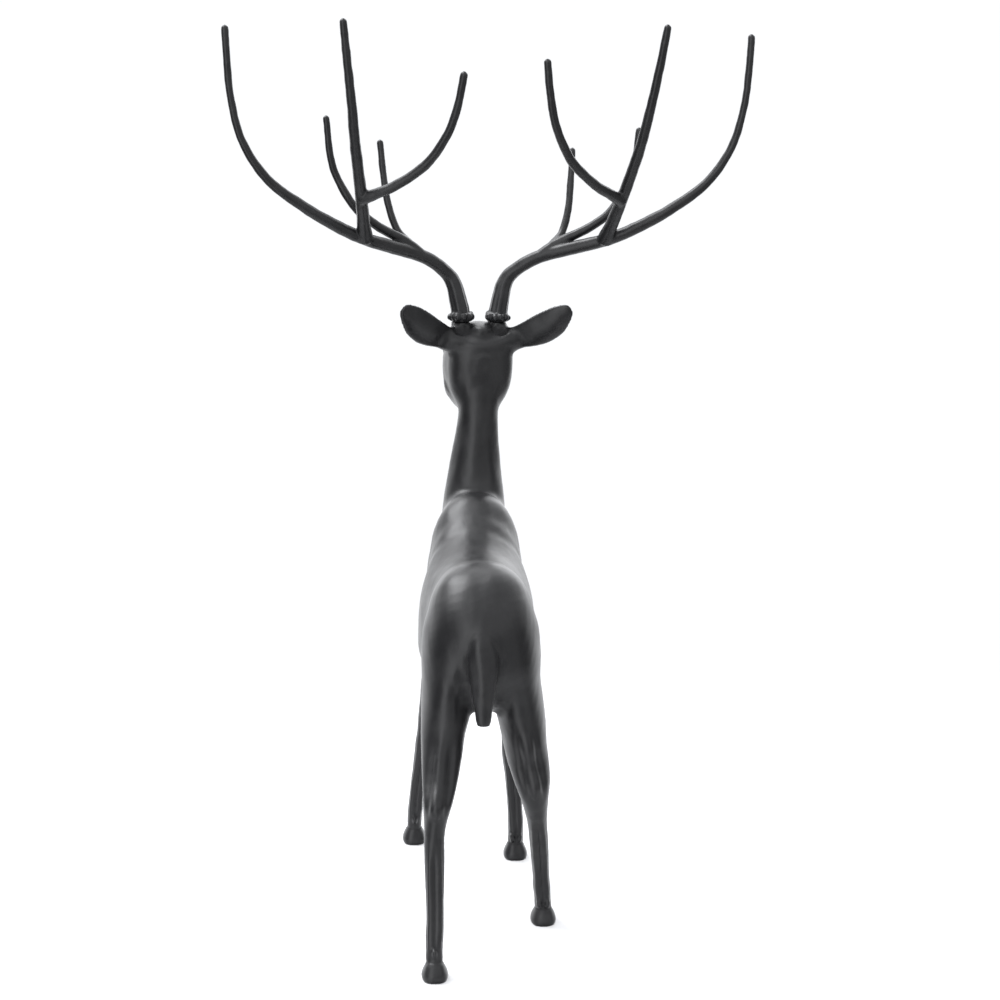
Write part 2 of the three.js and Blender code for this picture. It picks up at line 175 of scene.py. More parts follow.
# %% Stations of the legs
# Upwards: z, x, half width, y, half depth. Fetlock, knee or hock and thigh show in the half depth
LEGS = {
    "hind_left": [
        (13, 57.3, 10, 263, 12), (34, 57.1, 9.5, 258, 11.5), (49, 56.6, 10, 253.5, 12.3),
        (64, 56.1, 9.6, 249, 10.5), (84, 56, 9.9, 243.5, 10.5), (108, 56, 10.9, 236.5, 11.5),
        (132, 56.2, 11.3, 230, 12.5), (152, 56.1, 11.6, 224.5, 14.5), (170, 54.2, 13.3, 218.5, 19.5),
        (190, 51.5, 16.9, 214, 24.5), (212, 48.5, 20.5, 196, 22), (232, 46.4, 23, 179, 28),
        (252, 44.4, 25.2, 159, 37), (274, 40.6, 28.2, 140, 48), (302, 38.5, 29.3, 126, 57),
        (335, 33.5, 33.2, 120, 58), (366, 30, 31, 117, 49), (392, 25, 20, 115, 30),
    ],
    "hind_right": [
        (13, -73.3, 9.9, 90.5, 12), (34, -71.8, 9.7, 97, 11.5), (49, -70.5, 10, 101.5, 12.3),
        (64, -69.4, 9.6, 107, 10.7), (84, -68, 10.1, 115.5, 11), (110, -65.9, 10.9, 127, 12),
        (136, -63.5, 11.3, 137.5, 14.5), (152, -62, 12.8, 143, 18.5), (170, -59.8, 15.8, 148, 22.5),
        (190, -57, 20.2, 147.5, 25.5), (212, -52.8, 23.7, 138, 29), (235, -49.1, 25.2, 129, 40),
        (257, -46.3, 27.3, 119, 48), (280, -42.5, 28.6, 113, 54), (305, -38, 30, 112, 58),
        (335, -33.5, 33.2, 113, 59), (366, -30, 31, 113, 49), (392, -25, 20, 112, 30),
    ],
    "fore_left": [
        (13, 74.4, 8.8, -208, 11), (34, 73.7, 9.1, -205, 11), (48, 72.8, 9.6, -202.5, 11.9),
        (62, 71.6, 8.9, -200, 10), (86, 69, 9, -195.5, 10), (112, 65.4, 9.6, -190, 10.8),
        (138, 61.8, 10.8, -183.5, 13.4), (156, 60.1, 10, -179, 12.8), (176, 58.8, 10, -174.5, 13.4),
        (204, 55, 11.3, -166, 17), (236, 51, 13.2, -157, 22.5), (268, 47.2, 15, -149.5, 30),
        (300, 44, 16.2, -146, 40), (335, 41.8, 17, -143.5, 48), (368, 40, 17.4, -141, 49),
        (400, 35.5, 15.5, -138, 43), (430, 29, 10, -136, 28),
    ],
    "fore_right": [
        (13, -51.4, 9.8, -143, 11), (34, -51.4, 9.4, -143.5, 11), (48, -51.3, 9.7, -143, 11.9),
        (62, -50.7, 9.2, -142, 10), (86, -49.2, 9.4, -140, 10.2), (112, -46.9, 9.7, -137.5, 11),
        (138, -44.6, 10.7, -135, 13.4), (156, -43.5, 10.1, -133.5, 12.9), (176, -42.9, 10.2, -132, 13.4),
        (204, -42.5, 11.9, -131, 17), (236, -42.7, 14, -131, 22.5), (268, -43, 15.9, -131.5, 30),
        (300, -42.8, 16.8, -133.5, 40), (335, -41.6, 17, -136, 48), (368, -39.5, 17.4, -137, 49),
        (400, -35.5, 15.5, -137, 43), (430, -29, 10, -136, 28),
    ],
}
print("stations: legs", sum(len(stations) for stations in LEGS.values()))

# %% Stations of the head and ears
# The head has a frame of its own: its origin is on the crown between the antlers, it turns to the
# deer's left and leans a little. Back of the skull to nose: y, x, half width, top, widest, underside
HEAD = [
    (35, -2, 9, -33, -44, -56),
    (31, -2, 23, -21, -44, -74),
    (23, -2, 34, -9, -45, -91),
    (11, -2, 39.2, -0.5, -46, -104),
    (-4, -1.8, 40.2, 2.5, -47, -110),
    (-22, -1.4, 40.4, 0, -48, -113),
    (-42, -0.6, 38, -11, -51, -113),
    (-62, 0, 31, -26, -60, -111),
    (-82, 0, 23.5, -42, -71, -110),
    (-100, 0, 18.5, -57, -82, -110),
    (-115, 0, 16.5, -68, -89, -110),
    (-126, 0, 12.5, -77, -92, -106),
    (-130, 0, 5, -86, -92, -98),
]
CROWN = np.array([-9, -215, 660])
HEAD_TURN = math.radians(7.7)
HEAD_LEAN = math.radians(-1.5)
# Ear, root to tip: x, y, z, half width, for the left side of the head
EAR = [
    (28, 3, -17, 10),
    (42, 12.5, -13, 13.2),
    (56, 22.5, -7.4, 16.7),
    (72, 33.5, 1.4, 19.3),
    (87, 43, 12.6, 18),
    (97.6, 47.5, 22.8, 12.8),
    (103.2, 49.8, 28.4, 8),
    (105.8, 50.9, 31, 3.4),
]
EAR_ACROSS = np.array([-0.588, 0, 0.808])

turn_matrix = np.array([
    [math.cos(HEAD_TURN), -math.sin(HEAD_TURN), 0],
    [math.sin(HEAD_TURN), math.cos(HEAD_TURN), 0],
    [0, 0, 1],
])
lean_matrix = np.array([
    [math.cos(HEAD_LEAN), 0, math.sin(HEAD_LEAN)],
    [0, 1, 0],
    [-math.sin(HEAD_LEAN), 0, math.cos(HEAD_LEAN)],
])
HEAD_AXES = turn_matrix @ lean_matrix


def from_head(points):
    """Points of the head's frame, in the figure's frame."""
    return np.asarray(points, float) @ HEAD_AXES.T + CROWN


def to_head(x, y, z):
    """Coordinates in the head's frame of points of the figure's frame."""
    offsets = (x - CROWN[0], y - CROWN[1], z - CROWN[2])
    return [sum(HEAD_AXES[row, column] * offsets[row] for row in range(3)) for column in range(3)]


print("the nose is at", from_head([0, -130, -92]).round(1))

# %% [markdown]
# ## A field of distances
# Each form answers one question: how far is this point from my skin? The answer is negative inside.
# Where two forms meet, a smooth minimum of their answers rounds the seam, and the wider the blend,
# the softer the seam. Joined meshes would leave a hard crease at every leg. The answers are kept on
# a regular grid, and each form is only asked in the window of the grid that holds it.

# %% Grid and blending
CELL = 1.8
MARGIN = 14.0
FAR = 50.0


def smoothstep(value, low, high):
    share = np.clip((value - low) / (high - low), 0, 1)
    return share * share * (3 - 2 * share)


def smooth_minimum(first, second, blend):
    share = np.clip(0.5 + 0.5 * (second - first) / blend, 0, 1)
    return second + (first - second) * share - blend * share * (1 - share)


class Field:
    """A grid of distances from the skin, over a box of the figure's frame."""

    def __init__(self, low, high):
        self.low = np.array(low, float)
        self.counts = np.ceil((np.array(high) - self.low) / CELL).astype(int) + 1
        self.values = np.full(self.counts, FAR, np.float32)

    def window(self, low, high):
        first = np.floor((np.array(low) - MARGIN - self.low) / CELL).astype(int).clip(0)
        last = np.ceil((np.array(high) + MARGIN - self.low) / CELL).astype(int) + 1
        last = np.minimum(last, self.counts)
        ranges = [self.low[k] + CELL * np.arange(first[k], last[k]) for k in range(3)]
        place = tuple(slice(first[k], last[k]) for k in range(3))
        return place, np.meshgrid(*ranges, indexing="ij", sparse=True)

    def add(self, shape, low, high, blend):
        place, (x, y, z) = self.window(low, high)
        self.values[place] = smooth_minimum(self.values[place], shape(x, y, z), blend)

    def carve(self, shape, low, high, blend):
        place, (x, y, z) = self.window(low, high)
        self.values[place] = -smooth_minimum(-self.values[place], shape(x, y, z), blend)


field = Field((-132, -356, -10), (100, 292, 706))
print("grid cells:", int(np.prod(field.counts)), "of", CELL, "mm")

# %% Forms that follow stations
STATION_STEPS = 16


def curve_through(rows, steps):
    """A smooth curve through all the rows, with so many short steps from each to the next."""
    rows = np.array(rows, float)
    rows = np.vstack([2 * rows[0] - rows[1], rows, 2 * rows[-1] - rows[-2]])
    t = np.linspace(0, 1, steps, endpoint=False)[:, None]
    spans = []
    for a, b, c, d in zip(rows, rows[1:], rows[2:], rows[3:]):
        bend = (2 * a - 5 * b + 4 * c - d) * t**2 + (3 * b - a - 3 * c + d) * t**3
        spans.append(b + 0.5 * ((c - a) * t + bend))
    return np.vstack([*spans, rows[-2:-1]])


def smooth_rows(stations):
    """The stations with a smooth curve between them, sorted along the form."""
    dense = curve_through(stations, STATION_STEPS)
    return dense[np.argsort(dense[:, 0])]


def sampled(rows, place):
    """Every column of the rows but the first, at places along the form."""
    held = np.clip(place, rows[0, 0], rows[-1, 0])
    return [np.interp(held, rows[:, 0], rows[:, column]) for column in range(1, rows.shape[1])]


# How far a section's spread is from 1 where it starts to count as far from the skin, and fully does
FAR_FROM_SKIN = (0.25, 0.8)
LEAST_SLOPE = 0.004


def as_distance(spread, along, axis, rows):
    """Turns a section's spread, which is 1 on the skin, into millimetres, and closes both ends.

    Far from the skin only the slope within the section counts, because a form that closes
    quickly at its end would otherwise seem near where it is not.
    """
    slopes = np.gradient(spread, CELL)
    within = np.sqrt(sum(slopes[k] ** 2 for k in range(3) if k != axis))
    whole = np.sqrt(within ** 2 + slopes[axis] ** 2)
    far = smoothstep(np.abs(spread - 1), *FAR_FROM_SKIN)
    slope = np.maximum(whole + (within - whole) * far, LEAST_SLOPE)
    distance = (spread - 1) / slope
    beyond = np.maximum(rows[0, 0] - along, along - rows[-1, 0])
    outside = np.hypot(np.maximum(distance, 0), np.maximum(beyond, 0))
    return outside + np.minimum(np.maximum(distance, beyond), 0)


def superellipse(u, v, roundness):
    return (np.abs(u) ** roundness + np.abs(v) ** roundness) ** (1 / roundness)


def lying(stations, roundness, place=None):
    """A form whose sections stand across Y. place maps the figure's frame to the form's own."""
    rows = smooth_rows(stations)

    def shape(x, y, z):
        if place:
            x, y, z = place(x, y, z)
        middle, half_width, top, widest, underside = sampled(rows, y)
        reach = np.where(z > widest, top - widest, widest - underside)
        spread = superellipse((x - middle) / half_width, (z - widest) / reach, roundness)
        return as_distance(spread, y, 1, rows)

    return shape


def standing(stations, roundness=2):
    """A form whose sections lie flat."""
    rows = smooth_rows(stations)

    def shape(x, y, z):
        middle, half_width, depth_middle, half_depth = sampled(rows, z)
        spread = superellipse((x - middle) / half_width, (y - depth_middle) / half_depth, roundness)
        return as_distance(spread, z, 2, rows)

    return shape


def ellipsoid(centre, radii, place=None):
    """A rounded lump, in the figure's frame or in the one that place gives."""
    def shape(x, y, z):
        if place:
            x, y, z = place(x, y, z)
        offsets = [p - c for p, c in zip((x, y, z), centre)]
        spread = np.sqrt(sum((offset / r) ** 2 for offset, r in zip(offsets, radii)))
        slope = np.sqrt(sum((offset / (r * r)) ** 2 for offset, r in zip(offsets, radii)))
        return spread * (spread - 1) / np.maximum(slope, 1e-4)

    return shape


print("a trunk section at the loin:", [round(float(v), 1) for v in sampled(smooth_rows(TRUNK), 40.0)])

# %% [markdown]
# ## Trunk, legs, neck and tail
# The trunk goes in first and the others melt into it. The neck keeps a tight seam behind, because
# the casting shows a dark crease where the neck rises out of the withers.

# %% Add trunk, legs, neck and tail
# An ellipse has a roundness of 2, and a higher one is squarer
TRUNK_ROUNDNESS = 2.5
NECK_ROUNDNESS = 2.1
TAIL_ROUNDNESS = 1.9
HIND_LEG_BLEND = 9
FORE_LEG_BLEND = 7
NECK_BLEND = 7
TAIL_BLEND = 4

# Each form is given with the two corners of its window
field.add(lying(TRUNK, TRUNK_ROUNDNESS), (-72, -232, 244), (72, 190, 470), 1)
for name, stations in LEGS.items():
    columns = np.array(stations)
    low = (columns[:, 1] - columns[:, 2]).min(), (columns[:, 3] - columns[:, 4]).min(), columns[0, 0]
    high = (columns[:, 1] + columns[:, 2]).max(), (columns[:, 3] + columns[:, 4]).max(), columns[-1, 0]
    field.add(standing(stations), low, high, HIND_LEG_BLEND if "hind" in name else FORE_LEG_BLEND)
field.add(standing(NECK, NECK_ROUNDNESS), (-44, -245, 380), (42, -130, 622), NECK_BLEND)
field.add(standing(TAIL, TAIL_ROUNDNESS), (-19, 130, 268), (19, 208, 406), TAIL_BLEND)
print("solid cells so far:", int((field.values < 0).sum()))

# %% [markdown]
# ## Hooves
# A hoof is a bell: narrow at the coronet, widest just above the floor and flat below. The toe is
# split by a cleft. Small knobs, the dewclaws, stand over the heel, one or two to a foot.

# %% Add the hooves
HOOF_ROUNDNESS = 2.6
HOOF_BLEND = 1.5
CLEFT_RADII = (1.92, 15, 18)
CLEFT_BLEND = 1.2
KNOB_RADII = (3.3, 4.4, 6.4)
KNOB_BLEND = 1.4
KNOB_SINK = 0.4
# Height of the knobs over the heel, and how far sideways each one is
HEEL_KNOBS = {
    "hind_left": (31.0, [0]),
    "hind_right": (29.0, [-5, 5]),
    "fore_left": (34.0, [0]),
    "fore_right": (29.0, [-4.6, 4.6]),
}
for name, (x, y) in HOOVES.items():
    bell = [
        (HOOF_HEIGHT * height, x, HOOF_HALF_WIDTH * width, y + shift, HOOF_HALF_WIDTH * length)
        for height, width, length, shift in HOOF_BELL
    ]
    low, high = (x - 16, y - 24, -5), (x + 16, y + 20, HOOF_HEIGHT)
    field.add(standing(bell, HOOF_ROUNDNESS), low, high, HOOF_BLEND)
    toe = y + SOLE_FORWARD - SOLE_HALF_LENGTH
    cleft = ellipsoid((x, toe - 3, 4), CLEFT_RADII)
    field.carve(cleft, (x - 4, toe - 16, 0), (x + 4, toe + 12, 24), CLEFT_BLEND)
    knob_height, places = HEEL_KNOBS[name]
    leg_x, _, leg_y, half_depth = sampled(smooth_rows(LEGS[name]), knob_height)
    for sideways in places:
        centre = np.array((leg_x + sideways, leg_y + half_depth - KNOB_SINK, knob_height))
        field.add(ellipsoid(centre, KNOB_RADII), centre - 7, centre + 7, KNOB_BLEND)
print("hooves:", len(HOOVES))

# %% [markdown]
# ## Head
# The skull is a lying form like the trunk, in its own turned frame. A pair of short posts, the
# pedicles, rise from the crown and end flat, where the antlers are seated. Eyes are balls under
# lids: a lid is a slightly larger ball with an almond-shaped opening.

# %% Add the skull, muzzle and pedicles
PEDICLE_X = 22.6
PEDICLE_Y = 0.5
PEDICLE_RADIUS = 11.3
PEDICLE_RISE = 5.6
PEDICLE_ROOT = -22
PEDICLE_LUMP = 0.8
PEDICLE_RING = 0.5
# The post widens downwards from this height, by this share of the way
PEDICLE_FLARE_FROM = -3
PEDICLE_FLARE = 0.25
PEDICLE_BLEND = 2.5


def head_part(action, shape, low, high, blend):
    """Adds or carves a shape, whose window is a box of the head's frame."""
    corners = from_head(list(itertools.product(*zip(low, high))))
    action(shape, corners.min(0), corners.max(0), blend)


def pedicle(side):
    """A short post with a lumpy, ringed skin and a flat end."""
    def shape(x, y, z):
        x, y, z = to_head(x, y, z)
        spread = np.hypot(x - side * PEDICLE_X, y - PEDICLE_Y)
        lumps = np.sin(np.arctan2(y - PEDICLE_Y, side * x - PEDICLE_X) * 6 + z * 0.9)
        rings = np.sin(z * 1.35)
        foot = PEDICLE_RADIUS + PEDICLE_LUMP * lumps + PEDICLE_RING * rings
        foot = foot + PEDICLE_FLARE * np.maximum(0, PEDICLE_FLARE_FROM - z)
        return np.maximum(np.maximum(spread - foot, z - PEDICLE_RISE), PEDICLE_ROOT - z)

    return shape


skull = lying(HEAD, 2.3, to_head)
nose_pad = ellipsoid((0, -119, -88), (14, 12, 10.5), to_head)
crown_lump = ellipsoid((-1, 3, -3), (15, 22, 7), to_head)
head_part(field.add, skull, (-44, -132, -114), (42, 37, 4), 8)
head_part(field.add, nose_pad, (-15, -131, -99), (15, -106, -77), 5)
head_part(field.add, crown_lump, (-17, -20, -11), (15, 26, 6), 9)
for side in (1, -1):
    post = pedicle(side)
    middle = side * PEDICLE_X
    low, high = (middle - 14, -14, PEDICLE_ROOT), (middle + 14, 15, PEDICLE_RISE)
    head_part(field.add, post, low, high, PEDICLE_BLEND)
print("solid cells with the head:", int((field.values < 0).sum()))

# %% Add the ears
EAR_THICKNESS = 4.4
EAR_THIN = 2.3
EAR_DISH = 6.0
# The shares of its length between which the root opens into a dish
EAR_OPENING = (0.1, 0.5)
EAR_BLEND = 9
EAR_ROOT_BLEND = 11


def ear(side):
    """A leaf-shaped plate, bent into a shallow cup that opens forward."""
    stations = np.array(EAR, float)
    root = stations[0, :3]
    axis = (stations[-1, :3] - root) / np.linalg.norm(stations[-1, :3] - root)
    facing = np.cross(axis, EAR_ACROSS)
    facing /= np.linalg.norm(facing)
    offsets = stations[:, :3] - root
    columns = [offsets @ axis, offsets @ EAR_ACROSS, offsets @ facing, stations[:, 3]]
    rows = smooth_rows(np.column_stack(columns))
    length = rows[-1, 0]

    def shape(x, y, z):
        x, y, z = to_head(x, y, z)
        point = (side * x - root[0], y - root[1], z - root[2])
        along, across, depth = (
            sum(p * a for p, a in zip(point, line)) for line in (axis, EAR_ACROSS, facing)
        )
        across_middle, depth_middle, half_width = sampled(rows, along)
        share = np.clip(along / length, 0, 1)
        opening = smoothstep(share, *EAR_OPENING)
        radius = EAR_THICKNESS + (EAR_THIN - EAR_THICKNESS) * opening
        u = np.clip(np.abs(across - across_middle) / stations[:, 3].max(), 0, 1.2)
        bent = depth - depth_middle + EAR_DISH * opening * (1 - u * u)
        flat = np.maximum(np.abs(across - across_middle) - (half_width - radius), 0)
        beyond = np.maximum(along - (length - radius), 0) + np.maximum(-along, 0)
        return np.sqrt(flat * flat + bent * bent + beyond * beyond) - radius

    return shape


for side in (1, -1):
    low, high = (14, -16, -40), (112, 66, 48)
    if side < 0:
        low, high = (-high[0], low[1], low[2]), (-low[0], high[1], high[2])
    head_part(field.add, ear(side), low, high, EAR_BLEND)
    root = ellipsoid((side * 34, 11, -17), (17, 13, 12), to_head)
    low, high = (side * 34 - 18, -3, -30), (side * 34 + 18, 25, -4)
    head_part(field.add, root, low, high, EAR_ROOT_BLEND)
print("solid cells with the ears:", int((field.values < 0).sum()))

# %% Add the eyes, nostrils and mouth
EYE = (30, -48, -37)
EYE_RADII = (6.4, 10.4, 8)
LID = 1.5
LID_OPENING = 5.2
EYE_TILT = 0.45
SOCKET_BLEND = 4
EYE_BLEND = 0.6
LID_BLEND = 0.8
NOSTRIL_BLEND = 1.4


def eye_frame(side):
    """Coordinates of the head turned so that the eye's corners lie on one level."""
    def place(x, y, z):
        x, y, z = to_head(x, y, z)
        level, rise = y - EYE[1], z - EYE[2]
        turned = level * math.cos(EYE_TILT) + rise * math.sin(EYE_TILT)
        risen = rise * math.cos(EYE_TILT) - level * math.sin(EYE_TILT)
        return side * x - EYE[0], turned, risen

    return place


def lids(side):
    """A ball just round the eye, without the almond that stays open."""
    place = eye_frame(side)
    ball = ellipsoid((0, 0, 0), tuple(radius + LID for radius in EYE_RADII), place)

    def shape(x, y, z):
        _, along, up = place(x, y, z)
        almond = LID_OPENING * np.clip(1 - (along / EYE_RADII[1]) ** 2, 0, 1)
        return np.maximum(ball(x, y, z), almond - np.abs(up))

    return shape


for side in (1, -1):
    middle = side * EYE[0]
    low, high = (middle - 12, -64, -54), (middle + 12, -32, -20)
    socket = ellipsoid((3.5, -1, 0), (6, 15, 10), eye_frame(side))
    head_part(field.carve, socket, low, high, SOCKET_BLEND)
    head_part(field.add, ellipsoid((0, 0, 0), EYE_RADII, eye_frame(side)), low, high, EYE_BLEND)
    head_part(field.add, lids(side), low, high, LID_BLEND)
    nostril = ellipsoid((side * 8.2, -129, -85.5), (3.4, 5.5, 2.6), to_head)
    low, high = (side * 8.2 - 5, -136, -90), (side * 8.2 + 5, -122, -81)
    head_part(field.carve, nostril, low, high, NOSTRIL_BLEND)
print("solid cells with the eyes:", int((field.values < 0).sum()))

# %% [markdown]
# ## From the field to a mesh
# A surface net puts one corner in every grid cell that the skin passes through, at the mean of the
# points where it cuts the cell's edges, and one four-sided face round every grid edge that it cuts.
# The result is closed and evenly divided, so it can be modelled further.

# %% Surface net
def surface_net(field):
    values = field.values
    inside = values < 0
    shape = np.array(values.shape)
    corners = [np.array(((k >> 2) & 1, (k >> 1) & 1, k & 1)) for k in range(8)]
    count = np.zeros(shape - 1, np.uint8)
    for dx, dy, dz in corners:
        count += inside[dx:dx + shape[0] - 1, dy:dy + shape[1] - 1, dz:dz + shape[2] - 1]
    cells = np.argwhere((count > 0) & (count < 8))
    number = np.full(count.shape, -1, np.int32)
    number[tuple(cells.T)] = np.arange(len(cells))
    total = np.zeros((len(cells), 3))
    cuts = np.zeros(len(cells))
    for start in corners:
        for axis in range(3):
            if start[axis]:
                continue
            step = np.eye(3, dtype=int)[axis]
            first = values[tuple((cells + start).T)]
            second = values[tuple((cells + start + step).T)]
            cut = (first < 0) != (second < 0)
            share = first[cut] / (first[cut] - second[cut])
            total[cut] += start + step * share[:, None]
            cuts[cut] += 1
    points = field.low + CELL * (cells + total / cuts[:, None])
    faces = []
    for axis in range(3):
        u, v = np.eye(3, dtype=int)[(axis + 1) % 3], np.eye(3, dtype=int)[(axis + 2) % 3]
        changed = np.diff(inside.astype(np.int8), axis=axis)
        edges = np.argwhere(changed)
        away = changed[tuple(edges.T)] < 0
        quads = np.stack([number[tuple((edges - s).T)] for s in (u + v, v, 0 * u, u)], axis=1)
        faces.append(np.where(away[:, None], quads, quads[:, ::-1]))
    return points, np.vstack(faces)


points, faces = surface_net(field)
print("surface net:", len(points), "corners and", len(faces), "faces")

# %% Smoothing that knows its neighbours
SMOOTHING_STEP = 0.5
BACKWARD_STEP = -0.51
NET_ROUNDS = 3


def edges_of(faces):
    """Every edge of the four-sided faces, once."""
    sides = [faces[:, [corner, (corner + 1) % 4]] for corner in range(4)]
    return np.unique(np.sort(np.vstack(sides), axis=1), axis=0)


def to_neighbours(points, edges):
    """The way from each corner to the mean of its neighbours."""
    first, second = edges.T
    degree = np.bincount(edges.ravel(), minlength=len(points))
    total = np.zeros_like(points)
    for column in range(3):
        total[:, column] += np.bincount(first, points[second, column], len(points))
        total[:, column] += np.bincount(second, points[first, column], len(points))
    return total / degree[:, None] - points


def relax(points, edges, rounds):
    """Moves each corner towards its neighbours, then a little further back, to keep the size."""
    for step in (SMOOTHING_STEP, BACKWARD_STEP) * rounds:
        points = points + step * to_neighbours(points, edges)
    return points


def soften(points, edges, rounds, weight):
    """Plain smoothing, which fills a sharp seam, where the weight is above zero."""
    for _ in range(rounds):
        points = points + SMOOTHING_STEP * weight[:, None] * to_neighbours(points, edges)
    return points


def normals_of(points, faces):
    """The direction out of the skin at each corner."""
    first, second, third, fourth = (points[faces[:, corner]] for corner in range(4))
    sides = np.cross(third - first, fourth - second)
    normals = np.zeros_like(points)
    for corner in range(4):
        for column in range(3):
            normals[:, column] += np.bincount(faces[:, corner], sides[:, column], len(points))
    return normals / np.linalg.norm(normals, axis=1, keepdims=True)


edges = edges_of(faces)
points = relax(points, edges, NET_ROUNDS)
print("edges:", len(edges), "height", round(float(points[:, 2].max()), 1), "mm")

# %% [markdown]
# ## Modelling with strokes
# Muscle, tendon and crease are strokes of a modelling tool: a path along the skin, a width and a
# height. A positive height raises the skin along the path and a negative one presses it in, and the
# effect fades to nothing at the edge of the stroke. A mirrored stroke is made on both sides.

# %% The stroke tool
# Share of its length over which a stroke fades in, and out again
STROKE_FADE = 0.28
STROKE_STEPS = 6


def path_distance(points, path):
    """How far each point is from the path, and how far along the path, from 0 to 1, that is."""
    nearest = np.linalg.norm(points - path[0], axis=1)
    along = np.full(len(points), 0.5 if len(path) == 1 else 0.0)
    for number, (a, b) in enumerate(zip(path, path[1:])):
        line = b - a
        share = np.clip((points - a) @ line / (line @ line), 0, 1)
        distance = np.linalg.norm(points - a - share[:, None] * line, axis=1)
        closer = distance < nearest
        nearest = np.where(closer, distance, nearest)
        along = np.where(closer, (number + share) / (len(path) - 1), along)
    return nearest, along


def stroke(points, normals, path, width, height, crease=False):
    """A crease is V-shaped. Any other stroke has a rounded middle."""
    path = curve_through(path, STROKE_STEPS) if len(path) > 2 else np.array(path, float)
    low, high = path.min(0) - width, path.max(0) + width
    near = np.flatnonzero(np.all((points > low) & (points < high), axis=1))
    distance, along = path_distance(points[near], path)
    share = np.clip(distance / width, 0, 1)
    profile = (1 - share) ** 2 if crease else (1 - share**2) ** 3
    fade = smoothstep(np.minimum(along, 1 - along), 0, STROKE_FADE)
    points[near] += (height * profile * fade)[:, None] * normals[near]
    return points


def mirrored(path):
    return [(-x, y, z) for x, y, z in path]


# %% Strokes of the trunk
# Each is a path, a half width, a height and, for a crease, True. All sizes are in millimetres
MIDDLE_STROKES = [
    # A shallow hollow on top of the rump
    ([(0, 96, 435), (0, 120, 432), (0, 146, 418), (0, 168, 396)], 24, -0.7),
    # The crease in front of the withers, and the two small lumps behind it
    ([(-40, -150, 450), (-22, -151, 466), (0, -149, 472), (22, -151, 466), (38, -150, 450)],
     8, -2.2, True),
    ([(-28, -146, 462), (-20, -143, 466), (-12, -140, 466)], 6, 1),
    ([(14, -140, 466), (24, -143, 465), (32, -148, 460)], 6, 1),
    # The groove down the breast, and the ridge of the tail
    ([(0, -232, 420), (0, -231, 380), (0, -222, 340)], 9, -1.6),
    ([(9, 174, 380), (6, 184, 362), (2, 192, 340), (0, 199, 312), (0, 202, 282)], 12, 2.2),
]
SIDE_STROKES = [
    # The shoulder: blade, the groove behind it, the hollow behind the elbow, the upper arm, and
    # the crease between them and the neck
    ([(24, -122, 456), (40, -130, 436), (54, -148, 396)], 30, 1.6),
    ([(8, -84, 436), (28, -78, 428), (48, -84, 406), (60, -96, 366)], 17, -1),
    ([(60, -86, 392), (66, -90, 350), (62, -96, 310)], 24, -2.2),
    ([(56, -144, 360), (54, -125, 310)], 26, 1.8),
    ([(42, -172, 436), (50, -180, 390), (36, -208, 346)], 12, -1.6, True),
    # The flank's hollow, the hip and the thigh
    ([(58, 42, 388), (62, 48, 340), (58, 56, 290)], 30, -2),
    ([(34, 120, 415)], 26, 1.4),
    ([(60, 118, 380), (62, 96, 320)], 32, 1.2),
    # The crease beside the tail, the buttock and the groove along the belly
    ([(18.5, 181, 356), (18, 186, 338), (15.5, 192, 314), (12, 196, 292), (9.5, 198, 278)],
     6, -2.4, True),
    ([(32, 166, 372), (34, 168, 340), (35, 168, 306)], 18, 1.2),
    ([(36, -60, 258), (34, 0, 264), (30, 50, 276)], 14, -1),
]
print("trunk strokes:", len(MIDDLE_STROKES) + 2 * len(SIDE_STROKES))

# %% Strokes of the legs
def back_of(name, heights, sideways=0.0, front=False):
    """A path up the back or the front of a leg, at the given heights."""
    rows = smooth_rows(LEGS[name])
    path = []
    for z in heights:
        x, half_width, y, half_depth = (float(value) for value in sampled(rows, float(z)))
        fall = math.sqrt(max(0.0, 1 - (sideways / half_width) ** 2))
        path.append((x + sideways, y + (-half_depth if front else half_depth) * fall, z))
    return path


LEG_STROKES = []
for name in LEGS:
    outward = 1 if "left" in name else -1
    if "hind" in name:
        # The strong tendon to the point of the hock, a hollow on each side of it, and the point
        LEG_STROKES += [
            (back_of(name, (172, 190, 210, 236, 272), 3 * outward), 11, 3),
            (back_of(name, (170, 188, 208, 232, 268), 12 * outward), 9, -1.3),
            (back_of(name, (170, 188, 208, 232, 268), -9.5 * outward), 8, -2),
            (back_of(name, (176, 181, 186)), 3.6, 2.2),
        ]
    else:
        # The knee in front, and the groove up the back of the forearm
        LEG_STROKES += [
            (back_of(name, (128, 142, 154), front=True), 9, 1.6),
            (back_of(name, (136, 170, 240)), 7, -1.4, True),
        ]
    # The groove up the cannon bone, and a tendon on each side of it
    LEG_STROKES += [
        (back_of(name, (28, 44, 80, 120, 166)), 5.2, -2.6, True),
        (back_of(name, (28, 44, 80, 120, 160), 6.6), 3.8, 1.2),
        (back_of(name, (28, 44, 80, 120, 160), -6.6), 3.8, 1.2),
    ]
print("leg strokes:", len(LEG_STROKES))

